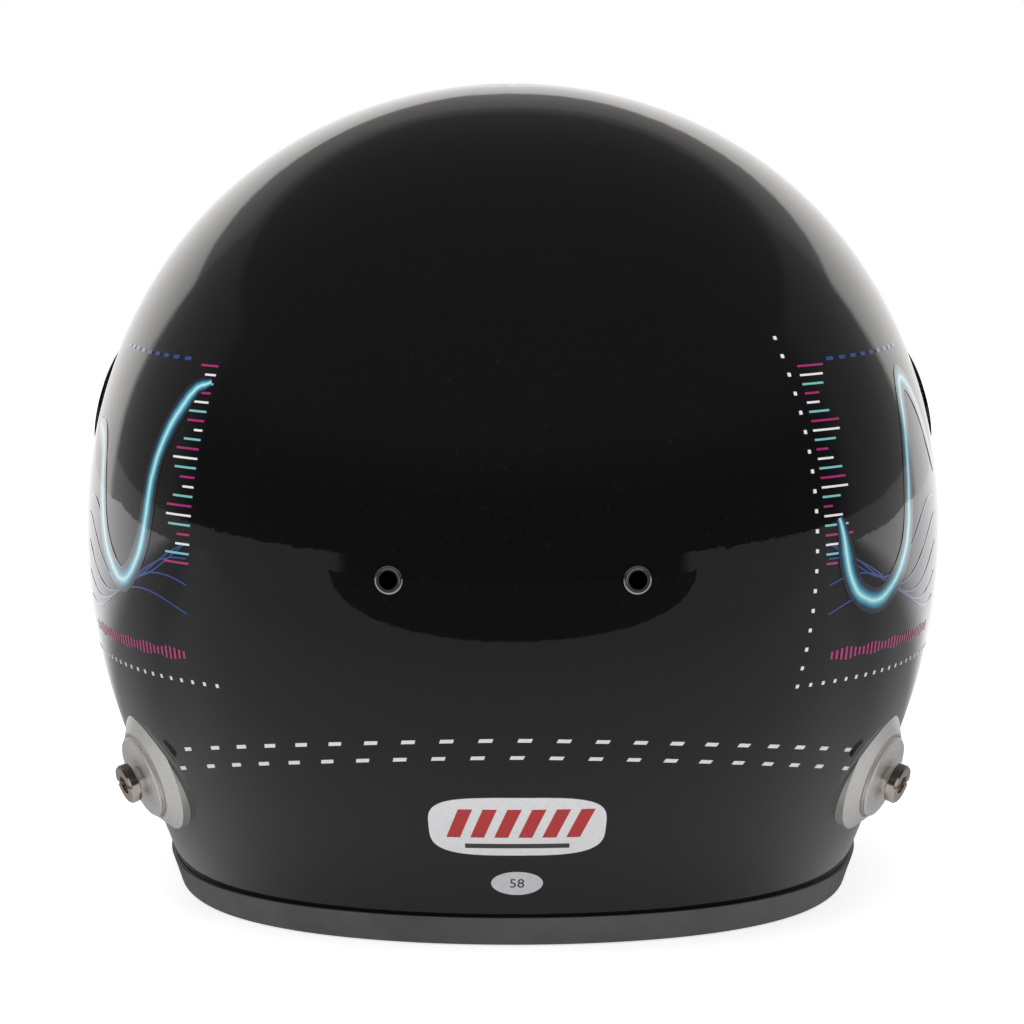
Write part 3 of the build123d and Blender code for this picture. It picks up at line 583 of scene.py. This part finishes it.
def flat_faces(polygons, step):
    """Points and triangles of flat polygons, divided until no edge is longer than a step."""
    bm = bmesh.new()
    for polygon in polygons:
        corners = [bm.verts.new((u, v, 0)) for u, v in polygon]
        for tri in tessellate_polygon([[Vector((u, v, 0)) for u, v in polygon]]):
            bm.faces.new([corners[i] for i in tri])
    bmesh.ops.remove_doubles(bm, verts=bm.verts, dist=join_gap)
    for _ in range(8):
        long_edges = [e for e in bm.edges if e.calc_length() > step]
        if not long_edges:
            break
        bmesh.ops.subdivide_edges(bm, edges=long_edges, cuts=1)
        bmesh.ops.triangulate(bm, faces=[f for f in bm.faces if len(f.verts) > 3])
    bm.normal_update()
    for face in bm.faces:
        if face.normal.z < 0:
            face.normal_flip()
    bm.verts.index_update()
    points = np.array([v.co[:2] for v in bm.verts])
    faces = [[v.index for v in f.verts] for f in bm.faces]
    bm.free()
    return points, faces


def on_shell(name, layout, polygons, material, proud=print_proud, sunk=print_sunk, step=0.0025, uv=None):
    """A thin printed layer on the shell, closed all round, from flat polygons in metres.

    With uv, the polygons are points and faces that are fine enough already."""
    flat, faces = flat_faces(polygons, step) if uv is None else polygons
    flat = np.asarray(flat, float)
    count = len(flat)
    points = np.concatenate([layout.place(flat, proud), layout.place(flat, sunk)])
    edges = {(a, b) for face in faces for a, b in zip(face, face[1:] + face[:1])}
    edges = [(a, b) for face in faces for a, b in zip(face, face[1:] + face[:1]) if (b, a) not in edges]
    solid = [tuple(f) for f in faces] + [tuple(count + i for i in reversed(f)) for f in faces]
    solid += [(b, a, a + count, b + count) for a, b in edges]
    piece = new_piece(name, points, solid, material, None if uv is None else np.concatenate([uv, uv]))
    piece.data.set_sharp_from_angle(angle=print_crease)
    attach(piece, "root")


def oval(centre, width, height, count=48, power=2.0):
    """A superellipse; a higher power is squarer."""
    turns = [2 * math.pi * i / count for i in range(count)]
    return [(centre[0] + width / 2 * math.copysign(abs(math.cos(t)) ** (2 / power), math.cos(t)),
             centre[1] + height / 2 * math.copysign(abs(math.sin(t)) ** (2 / power), math.sin(t)))
            for t in turns]


def slab(u, v, width, height, lean=0.0):
    """A leaning bar by its centre."""
    w, h = width / 2, height / 2
    return [(u - w - lean * h, v - h), (u + w - lean * h, v - h),
            (u + w + lean * h, v + h), (u - w + lean * h, v + h)]


def smooth_line(points, step=0.002):
    """A smooth open line through flat points (Catmull-Rom), sampled evenly enough for the shell."""
    points = np.asarray(points, float)
    padded = np.vstack([2 * points[0] - points[1], points, 2 * points[-1] - points[-2]])
    run = []
    for a, b, c, d in zip(padded, padded[1:], padded[2:], padded[3:]):
        square, cube = 2 * a - 5 * b + 4 * c - d, 3 * b - a - 3 * c + d
        for t in np.linspace(0, 1, max(2, int(np.linalg.norm(c - b) / step)), endpoint=False):
            run.append(0.5 * (2 * b + (c - a) * t + square * t**2 + cube * t**3))
    return np.array(run + [points[-1]])


def band(line, width, ends):
    """Points, quads and UV of a band along a flat line, narrower at its two ends."""
    line = np.asarray(line, float)
    ahead = to_unit(np.gradient(line, axis=0))
    left = np.stack([-ahead[:, 1], ahead[:, 0]], 1)
    run = run_along(line)
    near_end = np.minimum(run, run[-1] - run)
    half = width / 2 * (ends + (1 - ends) * np.clip(near_end / (1.5 * width), 0, 1))
    rows = [line + left * (half * k)[:, None] for k in (-1, -0.5, 0, 0.5, 1)]
    flat = np.stack(rows, 1).reshape(-1, 2)
    uv = np.stack([np.repeat(run / 0.01, 5), np.tile(np.linspace(0, 1, 5), len(line))], 1)
    starts = [5 * i + k for i in range(len(line) - 1) for k in range(4)]
    return flat, [[a, a + 5, a + 6, a + 1] for a in starts], uv


# Camera, floor and light

def aim(piece, place, at):
    piece.location = place
    piece.rotation_euler = (Vector(at) - Vector(place)).to_track_quat("-Z", "Y").to_euler()


camera_data = bpy.data.cameras.new("photo_camera")
camera_data.lens, camera_data.sensor_width = 181.6, 36.0
camera_data.clip_start, camera_data.clip_end = 0.05, 50
camera = add_object("photo_camera", camera_data)
camera_rise, camera_distance = math.radians(6.6), 1.5
camera_aim = Vector((0.00029, frame_shift, 0.109))
camera_way = Vector((0, math.cos(camera_rise), math.sin(camera_rise)))
aim(camera, camera_aim + camera_distance * camera_way, camera_aim)
bpy.context.scene.camera = camera
bpy.context.scene.view_settings.view_transform = "Standard"


class StudioLight(Nodes):
    """Masks and grey levels for the world and the floor."""

    def step(self, value, low, high):
        """0 below low, 1 above high, smooth between; high below low turns it round."""
        ends = (0.0, 1.0) if low < high else (1.0, 0.0)
        return self.spread(value, *ends, min(low, high), max(low, high), interpolation_type="SMOOTHSTEP")

    def layered(self, base, *layers):
        """Lays grey levels over a base level, each within its mask."""
        level = base
        for mask, over in layers:
            level = self.plus(self.times(level, self.math("SUBTRACT", 1.0, mask)), self.times(mask, over))
        return level


def studio_world():
    """White all round for the camera. Gloss sees a white backdrop behind the helmet, a dim studio before it."""
    world = bpy.data.worlds.new("studio")
    bpy.context.scene.world = world
    world.use_nodes = True
    world.node_tree.nodes.clear()
    light = StudioLight(world.node_tree)
    x, y, z = light.add("SeparateXYZ", {"Vector": light.add("TexCoord").outputs["Generated"]}).outputs
    level_run = light.math("SQRT", light.plus(light.times(x, x), light.times(y, y)))
    heading = light.math("DIVIDE", y, light.math("MAXIMUM", level_run, 0.001))
    edge = light.plus(heading, light.times(light.step(z, 0.30, 0.05), 0.045))
    behind, beside = light.step(edge, -0.74, -0.79), light.step(heading, -0.02, -0.30)
    backdrop = light.times(behind, light.step(z, 0.37, 0.335))
    over_backdrop = light.times(behind, light.step(z, 0.56, 0.52))
    wall = light.times(beside, light.step(z, 0.615, 0.56))
    table = light.times(light.step(z, 0.0, -0.004), light.step(heading, 0.79, 0.74))
    level = light.layered(0.03, (light.step(z, 0.20, 0.55), 0.09), (wall, 0.17), (over_backdrop, 0.28),
                          (table, 0.37), (backdrop, 1.0))
    grey = light.add("CombineColor", {i: light.times(level, share) for i, share in enumerate((1.0, 0.985, 0.965))})
    ray = light.add("LightPath").outputs
    seen = light.add("Mix", {0: ray["Is Glossy Ray"], 6: (0.80, 0.80, 0.81, 1), 7: grey.outputs["Color"]},
                     data_type="RGBA")
    white = light.math("MAXIMUM", ray["Is Camera Ray"], ray["Is Transmission Ray"])
    shown = light.add("Mix", {0: white, 6: seen.outputs[2], 7: (1, 1, 1, 1)}, data_type="RGBA")
    sky = light.add("Background", {"Color": shown.outputs[2]})
    light.add("OutputWorld", {"Surface": sky.outputs["Background"]})


def studio_floor():
    """A pale sheet under the helmet; the camera sees it as white as the background, less its shadow.

    From below the camera sees through it, to the helmet's underside."""
    width, front, back, low = 1.7, 1.25, 1.6, -0.0003
    points = [(-width, -back, low), (width, -back, low), (width, front, low), (-width, front, low)]
    material = bpy.data.materials.new("floor_white")
    material.use_nodes = True
    light = StudioLight(material.node_tree)
    shader, out = light.tree.nodes["Principled BSDF"], light.tree.nodes["Material Output"]
    ray = light.add("LightPath").outputs
    x, y, _ = light.add("SeparateXYZ", {"Vector": light.add("TexCoord").outputs["Object"]}).outputs
    for socket, value in (("Base Color", (0.80, 0.80, 0.80, 1)), ("Roughness", 0.9),
                          ("Emission Color", (1, 1, 1, 1)),
                          ("Emission Strength", light.times(ray["Is Camera Ray"], 0.62))):
        light.feed(shader.inputs[socket], value)
    # Gloss sees the sheet at grey levels set by place. These include a painted pool of bounce light by the
    # helmet's back and a painted shadow of the helmet from under it forward. The floor is brighter further ahead
    # and dark past a curved edge behind.
    edge = light.math("SQRT", light.plus(0.355**2, light.times(1.2, light.times(x, x))))
    past, near = light.step(light.math("SUBTRACT", y, edge), 0.0, 0.010), light.step(y, 0.33, 0.16)
    painted_shadow, far = light.step(y, 0.09, -0.02), light.step(y, -0.18, -0.42)
    level = light.layered(0.37, (near, 0.45), (painted_shadow, 0.27), (far, 1.15), (past, 0.05))
    sheet, clear = light.add("Emission", {"Strength": level}), light.add("BsdfTransparent")
    blend = light.add("MixShader", {0: ray["Is Glossy Ray"], 1: shader.outputs[0], 2: sheet.outputs[0]})
    from_below = light.times(ray["Is Camera Ray"], light.add("NewGeometry").outputs["Backfacing"])
    under = light.add("MixShader", {0: from_below, 1: blend.outputs[0], 2: clear.outputs[0]})
    light.feed(out.inputs["Surface"], under.outputs[0])
    floor = new_piece("studio_floor", points, [(0, 1, 2, 3)], material, smooth=False)


def lamp(name, place, size, power):
    data = bpy.data.lights.new(name, "AREA")
    data.shape, data.size, data.size_y, data.energy = "RECTANGLE", *size, power
    piece = add_object(name, data)
    aim(piece, place, (0, 0, 0.1))
    piece.visible_glossy = False


studio_world()
studio_floor()
lamp("top_light", (0.3, 0.2, 1.9), (1.6, 1.6), 9)
lamp("left_light", (1.6, 0.9, 0.9), (0.9, 1.3), 5)
lamp("right_light", (-1.6, 0.9, 0.9), (0.9, 1.3), 5)


# Shell, lens and CAD nodes with their finishes

shading_tree = even_shading()
unit_tree = repeat_tree()

shell = merged_copy("outer_shell", "gloss_shell", shell_black)
follow_form(shell, [(0.0, 1), (shell_thickness, -1)])
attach(shell, "root")
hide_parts("outer_shell")

lens = merged_copy("visor_lens", "smoked_lens", visor_smoke)
follow_form(lens, [(-lens_gap - lens_thickness, 1), (-lens_gap, -1)])
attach(lens, "visor")
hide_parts("visor_lens")

node_finishes = {
    "base_trim": rim_rubber, "eyeport_seal": port_rubber, "strap_keeper": port_rubber,
    "crown_liner": black_foam, "chin_liner": black_foam,
    "rear_eyelet": polished_steel, "brow_eyelet": polished_steel,
    "anchor_post": warm_steel, "anchor_insert": satin_alloy,
    "pivot_plate": black_plastic, "cheek_pad_snaps": black_plastic,
    "pivot_bush": satin_alloy, "pivot_washer": dark_anodised, "pivot_screw": dark_anodised,
    "pivot_insert": satin_alloy, "tear_off_post": satin_alloy,
    "chin_vent_frame": black_plastic, "chin_vent_shutter": black_plastic, "visor_tab": black_plastic,
    "chin_vent_mesh": punched_steel, "d_ring": ring_wire_steel,
    "strap_plate": satin_alloy, "strap_bush": satin_alloy, "strap_bolt": satin_alloy,
}
for node in sorted(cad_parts):
    for start, material in node_finishes.items():
        if node == start or node.startswith(start + "_"):
            dress_node(node, material)

anchor_centre, anchor_axis = (0.1008, 0.0673, 0.0405), (0.8638, 0.3846, -0.3256)
for side, sign in zip(sides, (1, -1)):
    centre = (sign * anchor_centre[0], *anchor_centre[1:])
    axis = (sign * anchor_axis[0], *anchor_axis[1:])
    dress_node(f"anchor_plate_{side}", turned(f"turned_alloy_{side}", (0.90, 0.885, 0.86), centre, axis))


# Printed marks on the shell

def dash_row(name, centre_height, drop, power, start, pitch, end_gap):
    """A row of 21 leaning dashes that dips towards the anchors, with a longer gap before its last dashes."""
    def row_height(bearing):
        return centre_height - drop * np.abs(bearing - 180) ** power

    last, sweep = 10, 62
    bearings = np.linspace(180 - sweep, 180 + sweep, 2401)
    run = run_along(shell_point(bearings, row_height(bearings)))
    run -= run[len(run) // 2]
    turn = np.arange(-last, last + 1)
    places = start + pitch * turn + np.sign(turn) * end_gap * np.abs(turn / last) ** 15
    bearing = np.interp(places, run, bearings)
    here = shell_point(bearing, row_height(bearing))
    ahead = shell_point(bearing + 0.4, row_height(bearing + 0.4)) - here
    repeat_units(name, dash_unit, here, ahead, shell_normal(bearing, row_height(bearing)),
                 (0.0037, 0.00115, print_proud), ink_white, unevenness=0.02)


print_steps = [(-0.6, 1), (1, 1)]
dash_unit = unit_shape("dash_unit", [(-0.56, -0.5), (0.44, -0.5), (0.56, 0.5), (-0.44, 0.5)], print_steps)
dot_unit = unit_shape("dot_unit", [(-0.5, -0.5), (0.5, -0.5), (0.5, 0.5), (-0.5, 0.5)], print_steps)
dash_row("upper_dashes", 0.0619, 0.0000147, 1.72, 0.0032, 0.01055, 0.0045)
dash_row("lower_dashes", 0.0568, 0.0000143, 1.74, 0.0011, 0.01065, 0.0073)


def number_polygons(text, height):
    """Flat polygons of plain figures about the origin."""
    curve = bpy.data.curves.new("size_number", "FONT")
    curve.body, curve.size, curve.align_x, curve.align_y = text, 1.0, "CENTER", "CENTER"
    curve.resolution_u = 4
    piece = add_object("size_number", curve)
    mesh = as_mesh(piece)
    corners = np.array([v.co[:2] for v in mesh.vertices])
    low, high = corners.min(0), corners.max(0)
    corners = (corners - (low + high) / 2) * height / (high[1] - low[1])
    bpy.data.objects.remove(piece)
    return [[tuple(corners[i]) for i in p.vertices] for p in mesh.polygons]


plate_layout, size_layout = Layout(180.5, 0.0357), Layout(180.5, 0.0181)
plate_bars = [slab(-0.0158 + 0.0066 * i, 0.0012, 0.0038, 0.0105, 0.35) for i in range(6)]
on_shell("back_plate", plate_layout, [oval((0, 0), 0.0485, 0.0215, 72, 3.6)], ink_plate, 0.00012)
on_shell("plate_bars", plate_layout, plate_bars, ink_red, 0.00017, 0.00006)
on_shell("plate_rule", plate_layout, [slab(0, -0.0072, 0.0290, 0.0016)], ink_dark, 0.00017, 0.00006)
on_shell("size_mark", size_layout, [oval((0, 0), 0.0142, 0.0080)], ink_size, 0.00014, step=0.0018)
on_shell("size_figures", size_layout, number_polygons("58", 0.0030), ink_dark, 0.00019, 0.00009, 0.001)


def side_artwork(side, sign, bearing, height):
    """Border dots of a generic pattern in mm, and the calls that lay its other prints.

    u runs forward from the panel's rear edge."""
    layout = Layout(bearing, height)

    def in_metres(points):
        return [(sign * u / 1000, v / 1000) for u, v in points]

    def lay(name, polygons, material):
        turned_round = [in_metres(p if sign > 0 else p[::-1]) for p in polygons]
        on_shell(f"{name}_{side}", layout, turned_round, material)

    def lay_line(name, points, width, material, ends=0.4, proud=print_proud):
        flat, faces, uv = band(smooth_line(in_metres(points)), width / 1000, ends)
        on_shell(f"{name}_{side}", layout, (flat, faces), material, uv=uv, proud=proud)

    border = [(u, 0) for u in np.arange(0, 96, 5.0)]
    if sign > 0:
        border += [(0.185 * v - 0.00164 * v**2, v) for v in np.arange(5.4, 98, 5.4)]
    border, aside = np.array(in_metres(border)), 0.0005
    places = layout.place(border)
    beside, above = layout.place(border + (aside, 0)) - places, layout.place(border + (0, aside)) - places
    repeat_units(f"border_dots_{side}", dot_unit, places, beside, np.cross(beside, above),
                 (0.0011, 0.0011, print_proud), ink_white, unevenness=0.03)
    return lay, lay_line


lay_right, line_right = side_artwork("right", 1, 213.6, 0.0735)
lay_left, line_left = side_artwork("left", -1, 144.5, 0.0732)

for lay, line, seed in ((lay_right, line_right, 3), (lay_left, line_left, 8)):
    chance = np.random.default_rng(seed)
    lengths = 3.5 + 9 * np.abs(np.sin(np.arange(22) * 0.55 + seed)) * chance.uniform(0.75, 1, 22)
    bars = [slab(8 + length / 2, 34 + 2.6 * i, length, 0.6) for i, length in enumerate(lengths)]
    for start, material in enumerate((ink_magenta, ink_cyan, ink_white)):
        lay("level_bars_" + material.name.removeprefix("ink_"), bars[start::3], material)
    ticks = [slab(12 + 2.1 * i, 8, 0.9, 2.2 + 1.6 * math.sin(0.5 * i) ** 2) for i in range(34)]
    lay("tick_row", ticks, ink_magenta)
    lay("tick_squares", [slab(24 + 7 * i, 90, 3.6, 1.1) for i in range(9)], ink_blue)
    for k in range(5):
        wave = [(9 + 6 * i, 20 + 4.2 * k + (5 + k) * math.sin(0.42 * i + 0.7 * k)) for i in range(14)]
        line(f"contour_{k}", wave, 0.45, ink_blue, 1.0)

glow_width, glow_proud = 7.4, 0.00010
line_right("glow_line", [(14, 46), (20, 27), (34, 22), (50, 34), (58, 58), (70, 80), (84, 74), (96, 52)],
           glow_width, glow_cyan, proud=glow_proud)
line_left("glow_line", [(9, 84), (17, 80), (27, 62), (31, 38), (44, 26), (60, 36), (74, 60), (92, 66)],
          glow_width, glow_cyan, proud=glow_proud)


# Pads

def baked(piece):
    """Turns a piece's live modifiers into its plain mesh."""
    mesh = as_mesh(piece)
    piece.modifiers.clear()
    piece.data = mesh


def vertex_normals(mesh):
    return values_of(mesh.vertex_normals, "vector", 3, np.float32)


def stuffed(node, name, material, voxel, shrink, cap):
    """A pad from a CAD soft solid: remeshed a little small, then swelled as cloth under pressure up to a cap."""
    piece = merged_copy(node, name, material)
    remesh = piece.modifiers.new("remesh", "REMESH")
    remesh.mode, remesh.voxel_size = "VOXEL", voxel
    baked(piece)
    rest = values_of(piece.data.vertices, "co") - shrink * vertex_normals(piece.data)
    set_places(piece.data, rest)
    cloth = piece.modifiers.new("cloth", "CLOTH")
    cloth.settings.quality = 5
    cloth.settings.mass = 0.3
    cloth.settings.use_pressure = True
    cloth.settings.uniform_pressure_force = 4.0
    cloth.settings.effector_weights.gravity = 0
    cloth.point_cache.frame_start, cloth.point_cache.frame_end = 1, sim_frames
    for step in range(1, sim_frames + 1):
        bpy.context.scene.frame_set(step)
    swelled = piece.evaluated_get(bpy.context.evaluated_depsgraph_get()).to_mesh()
    move = values_of(swelled.vertices, "co") - rest
    piece.modifiers.clear()
    bpy.context.scene.frame_set(1)
    length = np.linalg.norm(move, axis=1, keepdims=True)
    set_places(piece.data, rest + move * np.minimum(1, cap / np.maximum(length, 1e-9)))
    smooth = piece.modifiers.new("smooth", "SUBSURF")
    smooth.levels = smooth.render_levels = 1
    baked(piece)
    shade(piece.data)
    return piece


def kept_inside(piece, inset):
    """Keeps a pad within the shell form at an inset."""
    places = values_of(piece.data.vertices, "co")
    bearing = shell_bearing(places, inset)
    height = np.minimum(places[:, 2], shell_height - inset - 0.0003)
    edge, outward = shell_point(bearing, height, inset), shell_normal(bearing, height, inset)
    over = np.maximum(0, ((places - edge) * outward).sum(1))
    set_places(piece.data, places - outward * over[:, None])


def cast(piece, starts, ends):
    """Where rays first meet a piece, with the facing normal there."""
    mesh = piece.data
    tree = BVHTree.FromPolygons([v.co for v in mesh.vertices], [tuple(p.vertices) for p in mesh.polygons])
    points, normals = [], []
    for start, end in zip(starts, ends):
        way = (Vector(end) - Vector(start)).normalized()
        hit, normal, _, _ = tree.ray_cast(Vector(start), way)
        if hit is not None:
            points.append(hit)
            normals.append(normal if normal.dot(way) < 0 else -normal)
    return np.array(points), np.array(normals)


def sewn_channel(piece, starts, ends, depth, width):
    """Presses a channel into a pad where rays meet it; gives the points and normals along its bottom."""
    line = cast(piece, starts, ends)[0]
    places, normals = values_of(piece.data.vertices, "co"), vertex_normals(piece.data)
    tree = KDTree(len(line))
    for i, point in enumerate(line):
        tree.insert(point, i)
    tree.balance()
    gap = np.array([tree.find(place)[2] for place in places])
    places -= normals * (depth * np.exp(-((gap / width) ** 2)))[:, None]
    set_places(piece.data, places)
    return cast(piece, starts, ends)


def outward_faces(piece):
    bm = bmesh.new()
    bm.from_mesh(piece.data)
    bmesh.ops.recalc_face_normals(bm, faces=bm.faces)
    bm.to_mesh(piece.data)
    bm.free()


def piping(name, line, normals, radius, material):
    """A covered cord sewn into a closed seam, as a tube along it."""
    round_count = 8
    ahead = to_unit(np.roll(line, -1, 0) - np.roll(line, 1, 0))
    across = to_unit(np.cross(ahead, normals))
    outward = np.cross(across, ahead)
    turns = np.linspace(0, 2 * math.pi, round_count, endpoint=False)
    rows = [line + radius * (math.cos(t) * outward + math.sin(t) * across) for t in turns]
    points = np.stack(rows, 1).reshape(-1, 3)
    piece = new_piece(name, points, ring_faces(len(line), round_count, closed=True), material)
    outward_faces(piece)
    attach(piece, "root")


def evenly(line, spacing, closed=False):
    """Points spaced evenly along a line of places; columns past the third, such as normals, go with them."""
    line = np.asarray(line, float)
    if closed:
        line = np.vstack([line, line[:1]])
    run = run_along(line[:, :3])
    count = max(2, int(round(run[-1] / spacing)))
    places = np.linspace(0, run[-1], count + 1)
    places = places[:-1] if closed else places
    return np.stack([np.interp(places, run, line[:, k]) for k in range(line.shape[1])], 1)


def stitch_row(name, line, normals, shift=0.0, closed=False):
    """Stitches beside a seam, shifted across it."""
    pitch, lift = 0.0034, 0.0001
    both = evenly(np.hstack([line, normals]), pitch, closed)
    places, outward = both[:, :3], to_unit(both[:, 3:])
    ahead = (np.roll(places, -1, 0) - np.roll(places, 1, 0)) if closed else np.gradient(places, axis=0)
    across = to_unit(np.cross(ahead, outward))
    places = places + across * shift + outward * lift
    repeat_units(name, stitch_unit, places, ahead, outward, (0.72 * pitch, 0.0007, 0.0005), thread_white,
                 seed=5, unevenness=0.06)


sim_frames = 20
stitch_steps = [(-0.9, 0.9), (0.1, 1.0), (0.62, 0.82), (0.9, 0.4)]
stitch_unit = unit_shape("stitch_unit", oval((0, 0), 1.0, 1.0, 8, 2.6), stitch_steps)
liner_inset, pad_inset, seam_inset = 0.0033 + 0.0002, 0.0366, 0.0366 + 0.009

crown_pad = stuffed("crown_pad", "sewn_crown_pad", lining_knit, 0.0042, 0.0012, 0.0022)
kept_inside(crown_pad, pad_inset)
head_centre = (0.0, 0.0, 0.105)
crown_seams = []
for bearing in (0, 52, 100, 140, 180, 220, 260, 308):
    low = 0.150 if bearing in (0, 52, 308) else (0.118 if bearing in (100, 260) else 0.046)
    crown_seams.append(shell_point(float(bearing), np.linspace(low, 0.181, 60), seam_inset))
ring_seam = shell_point(np.linspace(0, 360, 181)[:-1], 0.158, seam_inset)
for i, seam in enumerate([*crown_seams, ring_seam]):
    line, normals = sewn_channel(crown_pad, [head_centre] * len(seam), seam, 0.0026, 0.0034)
    stitch_row(f"crown_stitches_{i}", line, normals, closed=seam is ring_seam)
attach(crown_pad, "root")
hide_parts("crown_pad")

cheek_outline = np.array([(-11, 47), (-50, 46), (-97, 47), (-99, 60), (-97, 72), (-84, 80), (-70, 88), (-40, 90),
                          (-11, 89), (-8, 70), (-11, 47)]) / 1000
for side, sign in zip(sides, (1, -1)):
    pad = stuffed(f"cheek_pad_{side}", f"sewn_cheek_pad_{side}", lining_knit, 0.0036, 0.0012, 0.0030)
    kept_inside(pad, liner_inset)

    def cheek_channel(path, depth, width):
        starts = [(0.0, y + frame_shift, z) for y, z in path]
        return sewn_channel(pad, starts, [(sign * 0.1, y, z) for _, y, z in starts], depth, width)

    line, normals = cheek_channel(evenly(smooth_line(cheek_outline), 0.0022)[:-1], 0.0022, 0.0026)
    piping(f"cheek_piping_{side}", line - 0.0002 * normals, normals, 0.0011, roll_suede)
    stitch_row(f"cheek_stitches_inner_{side}", line, normals, 0.0032, closed=True)
    stitch_row(f"cheek_stitches_outer_{side}", line, normals, -0.0032, closed=True)
    for k, y in enumerate((-0.036, -0.066)):
        line, normals = cheek_channel([(y, z) for z in np.linspace(0.052, 0.083, 24)], 0.0020, 0.0028)
        stitch_row(f"cheek_channel_{k}_{side}", line, normals)
    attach(pad, "root")
    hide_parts(f"cheek_pad_{side}")

neck_roll = stuffed("neck_roll", "sewn_neck_roll", roll_suede, 0.0024, 0.0008, 0.0022)
kept_inside(neck_roll, liner_inset)
roll_bearings = np.linspace(79, 281, 140)
roll_middle = shell_point(roll_bearings, 0.018, 0.0108)
for name, height, inset in (("inner", 0.0180, 0.0183), ("lower", 0.0100, 0.0120)):
    start = roll_middle + (shell_point(roll_bearings, height, inset + 0.004) - roll_middle) * 3
    line, normals = sewn_channel(neck_roll, start, roll_middle, 0.0009, 0.0016)
    stitch_row(f"neck_stitches_{name}", line, normals)
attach(neck_roll, "root")
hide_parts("neck_roll")


# Chin strap

strap_y, strap_half, strap_thick = -0.035 + frame_shift, 0.0125, 0.0009


def rounded_path(corners, radii):
    """A flat path of straight runs joined by arcs."""
    corners = [np.array(c, float) for c in corners]
    path = [corners[0]]
    for before, corner, after, radius in zip(corners, corners[1:], corners[2:], radii):
        back, on = to_unit(before - corner), to_unit(after - corner)
        half = math.acos(np.clip(back @ on, -1, 1)) / 2
        reach = radius / math.tan(half)
        middle = corner + to_unit(back + on) * radius / math.sin(half)
        first, last = corner + back * reach - middle, corner + on * reach - middle
        for t in np.linspace(0, 1, 9):
            path.append(middle + radius * to_unit(first * (1 - t) + last * t))
    path.append(corners[-1])
    return evenly(path, 0.0009)


def webbing(name, node, corners, radii):
    """Woven webbing along a path of X and Z: rounded edges, a thicker selvedge, and slight unevenness."""
    path = rounded_path(corners, radii)
    ahead = to_unit(np.gradient(path, axis=0))
    up = np.stack([-ahead[:, 1], ahead[:, 0]], 1)
    run = run_along(path)
    across = np.array([-1, -0.985, -0.93, -0.86, -0.6, -0.2, 0.2, 0.6, 0.86, 0.93, 0.985, 1])
    rise = strap_thick * np.array([0.25, 0.72, 0.98, 0.84, 0.86, 0.88, 0.88, 0.86, 0.84, 0.98, 0.72, 0.25])
    section = [(a, r) for a, r in zip(across, rise)] + [(a, -r) for a, r in zip(across[::-1], rise[::-1])]
    points, uv = [], []
    for i, (x, z) in enumerate(path):
        wave = 0.00006 * math.sin(run[i] / 0.0065) + 0.00004 * math.sin(run[i] / 0.0023 + 1.3)
        for a, r in section:
            lift = r + wave * (1 - abs(a)) * math.copysign(1, r)
            points.append((x + up[i, 0] * lift, strap_y + strap_half * a, z + up[i, 1] * lift))
            uv.append((run[i], strap_half * a))
    piece = new_piece(name, points, ring_faces(len(path), len(section)), black_webbing, np.array(uv))
    outward_faces(piece)
    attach(piece, "chin_strap")
    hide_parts(node)


strap_paths = {
    "left": [(92.1, 33), (92.1, 5), (-39.0, 5), (-39.0, 14.5), (-24.7, 14.5), (-24.7, 7.1), (24, 7.1)],
    "right": [(-92.1, 33), (-92.1, 5), (-41.1, 5), (-41.1, 14.5), (-46.9, 14.5), (-46.9, 7.1), (-60.9, 7.1)],
}
for side, corners in strap_paths.items():
    webbing(f"woven_strap_{side}", f"strap_{side}", np.array(corners) / 1000, [0.009] + 4 * [0.0018])


def bar_tack(name, corners, normal):
    """A sewn box with a cross in it, on webbing."""
    pitch = 0.0026
    a, b, c, d = [np.array(p, float) for p in corners]
    lines = [evenly(ends, pitch) for ends in ([a, b], [b, c], [c, d], [d, a], [a, c], [b, d])]
    places = np.concatenate([(line[:-1] + line[1:]) / 2 for line in lines])
    ahead = np.concatenate([np.diff(line, axis=0) for line in lines])
    repeat_units(name, stitch_unit, places, ahead, [normal] * len(places), (0.8 * pitch, 0.0006, 0.0004),
                 thread_white, "chin_strap", seed=7, unevenness=0.05)


low, high = strap_y - 0.0095, strap_y + 0.0095
for name, near, far, height, way in (("fold_stitches_under", -0.0600, -0.0490, 0.0042, -1),
                                     ("fold_stitches_over", -0.0600, -0.0490, 0.0079, 1),
                                     ("tail_stitches", 0.0170, 0.0230, 0.0079, 1)):
    bar_tack(name, [(near, low, height), (far, low, height), (far, high, height), (near, high, height)],
             (0, 0, way))
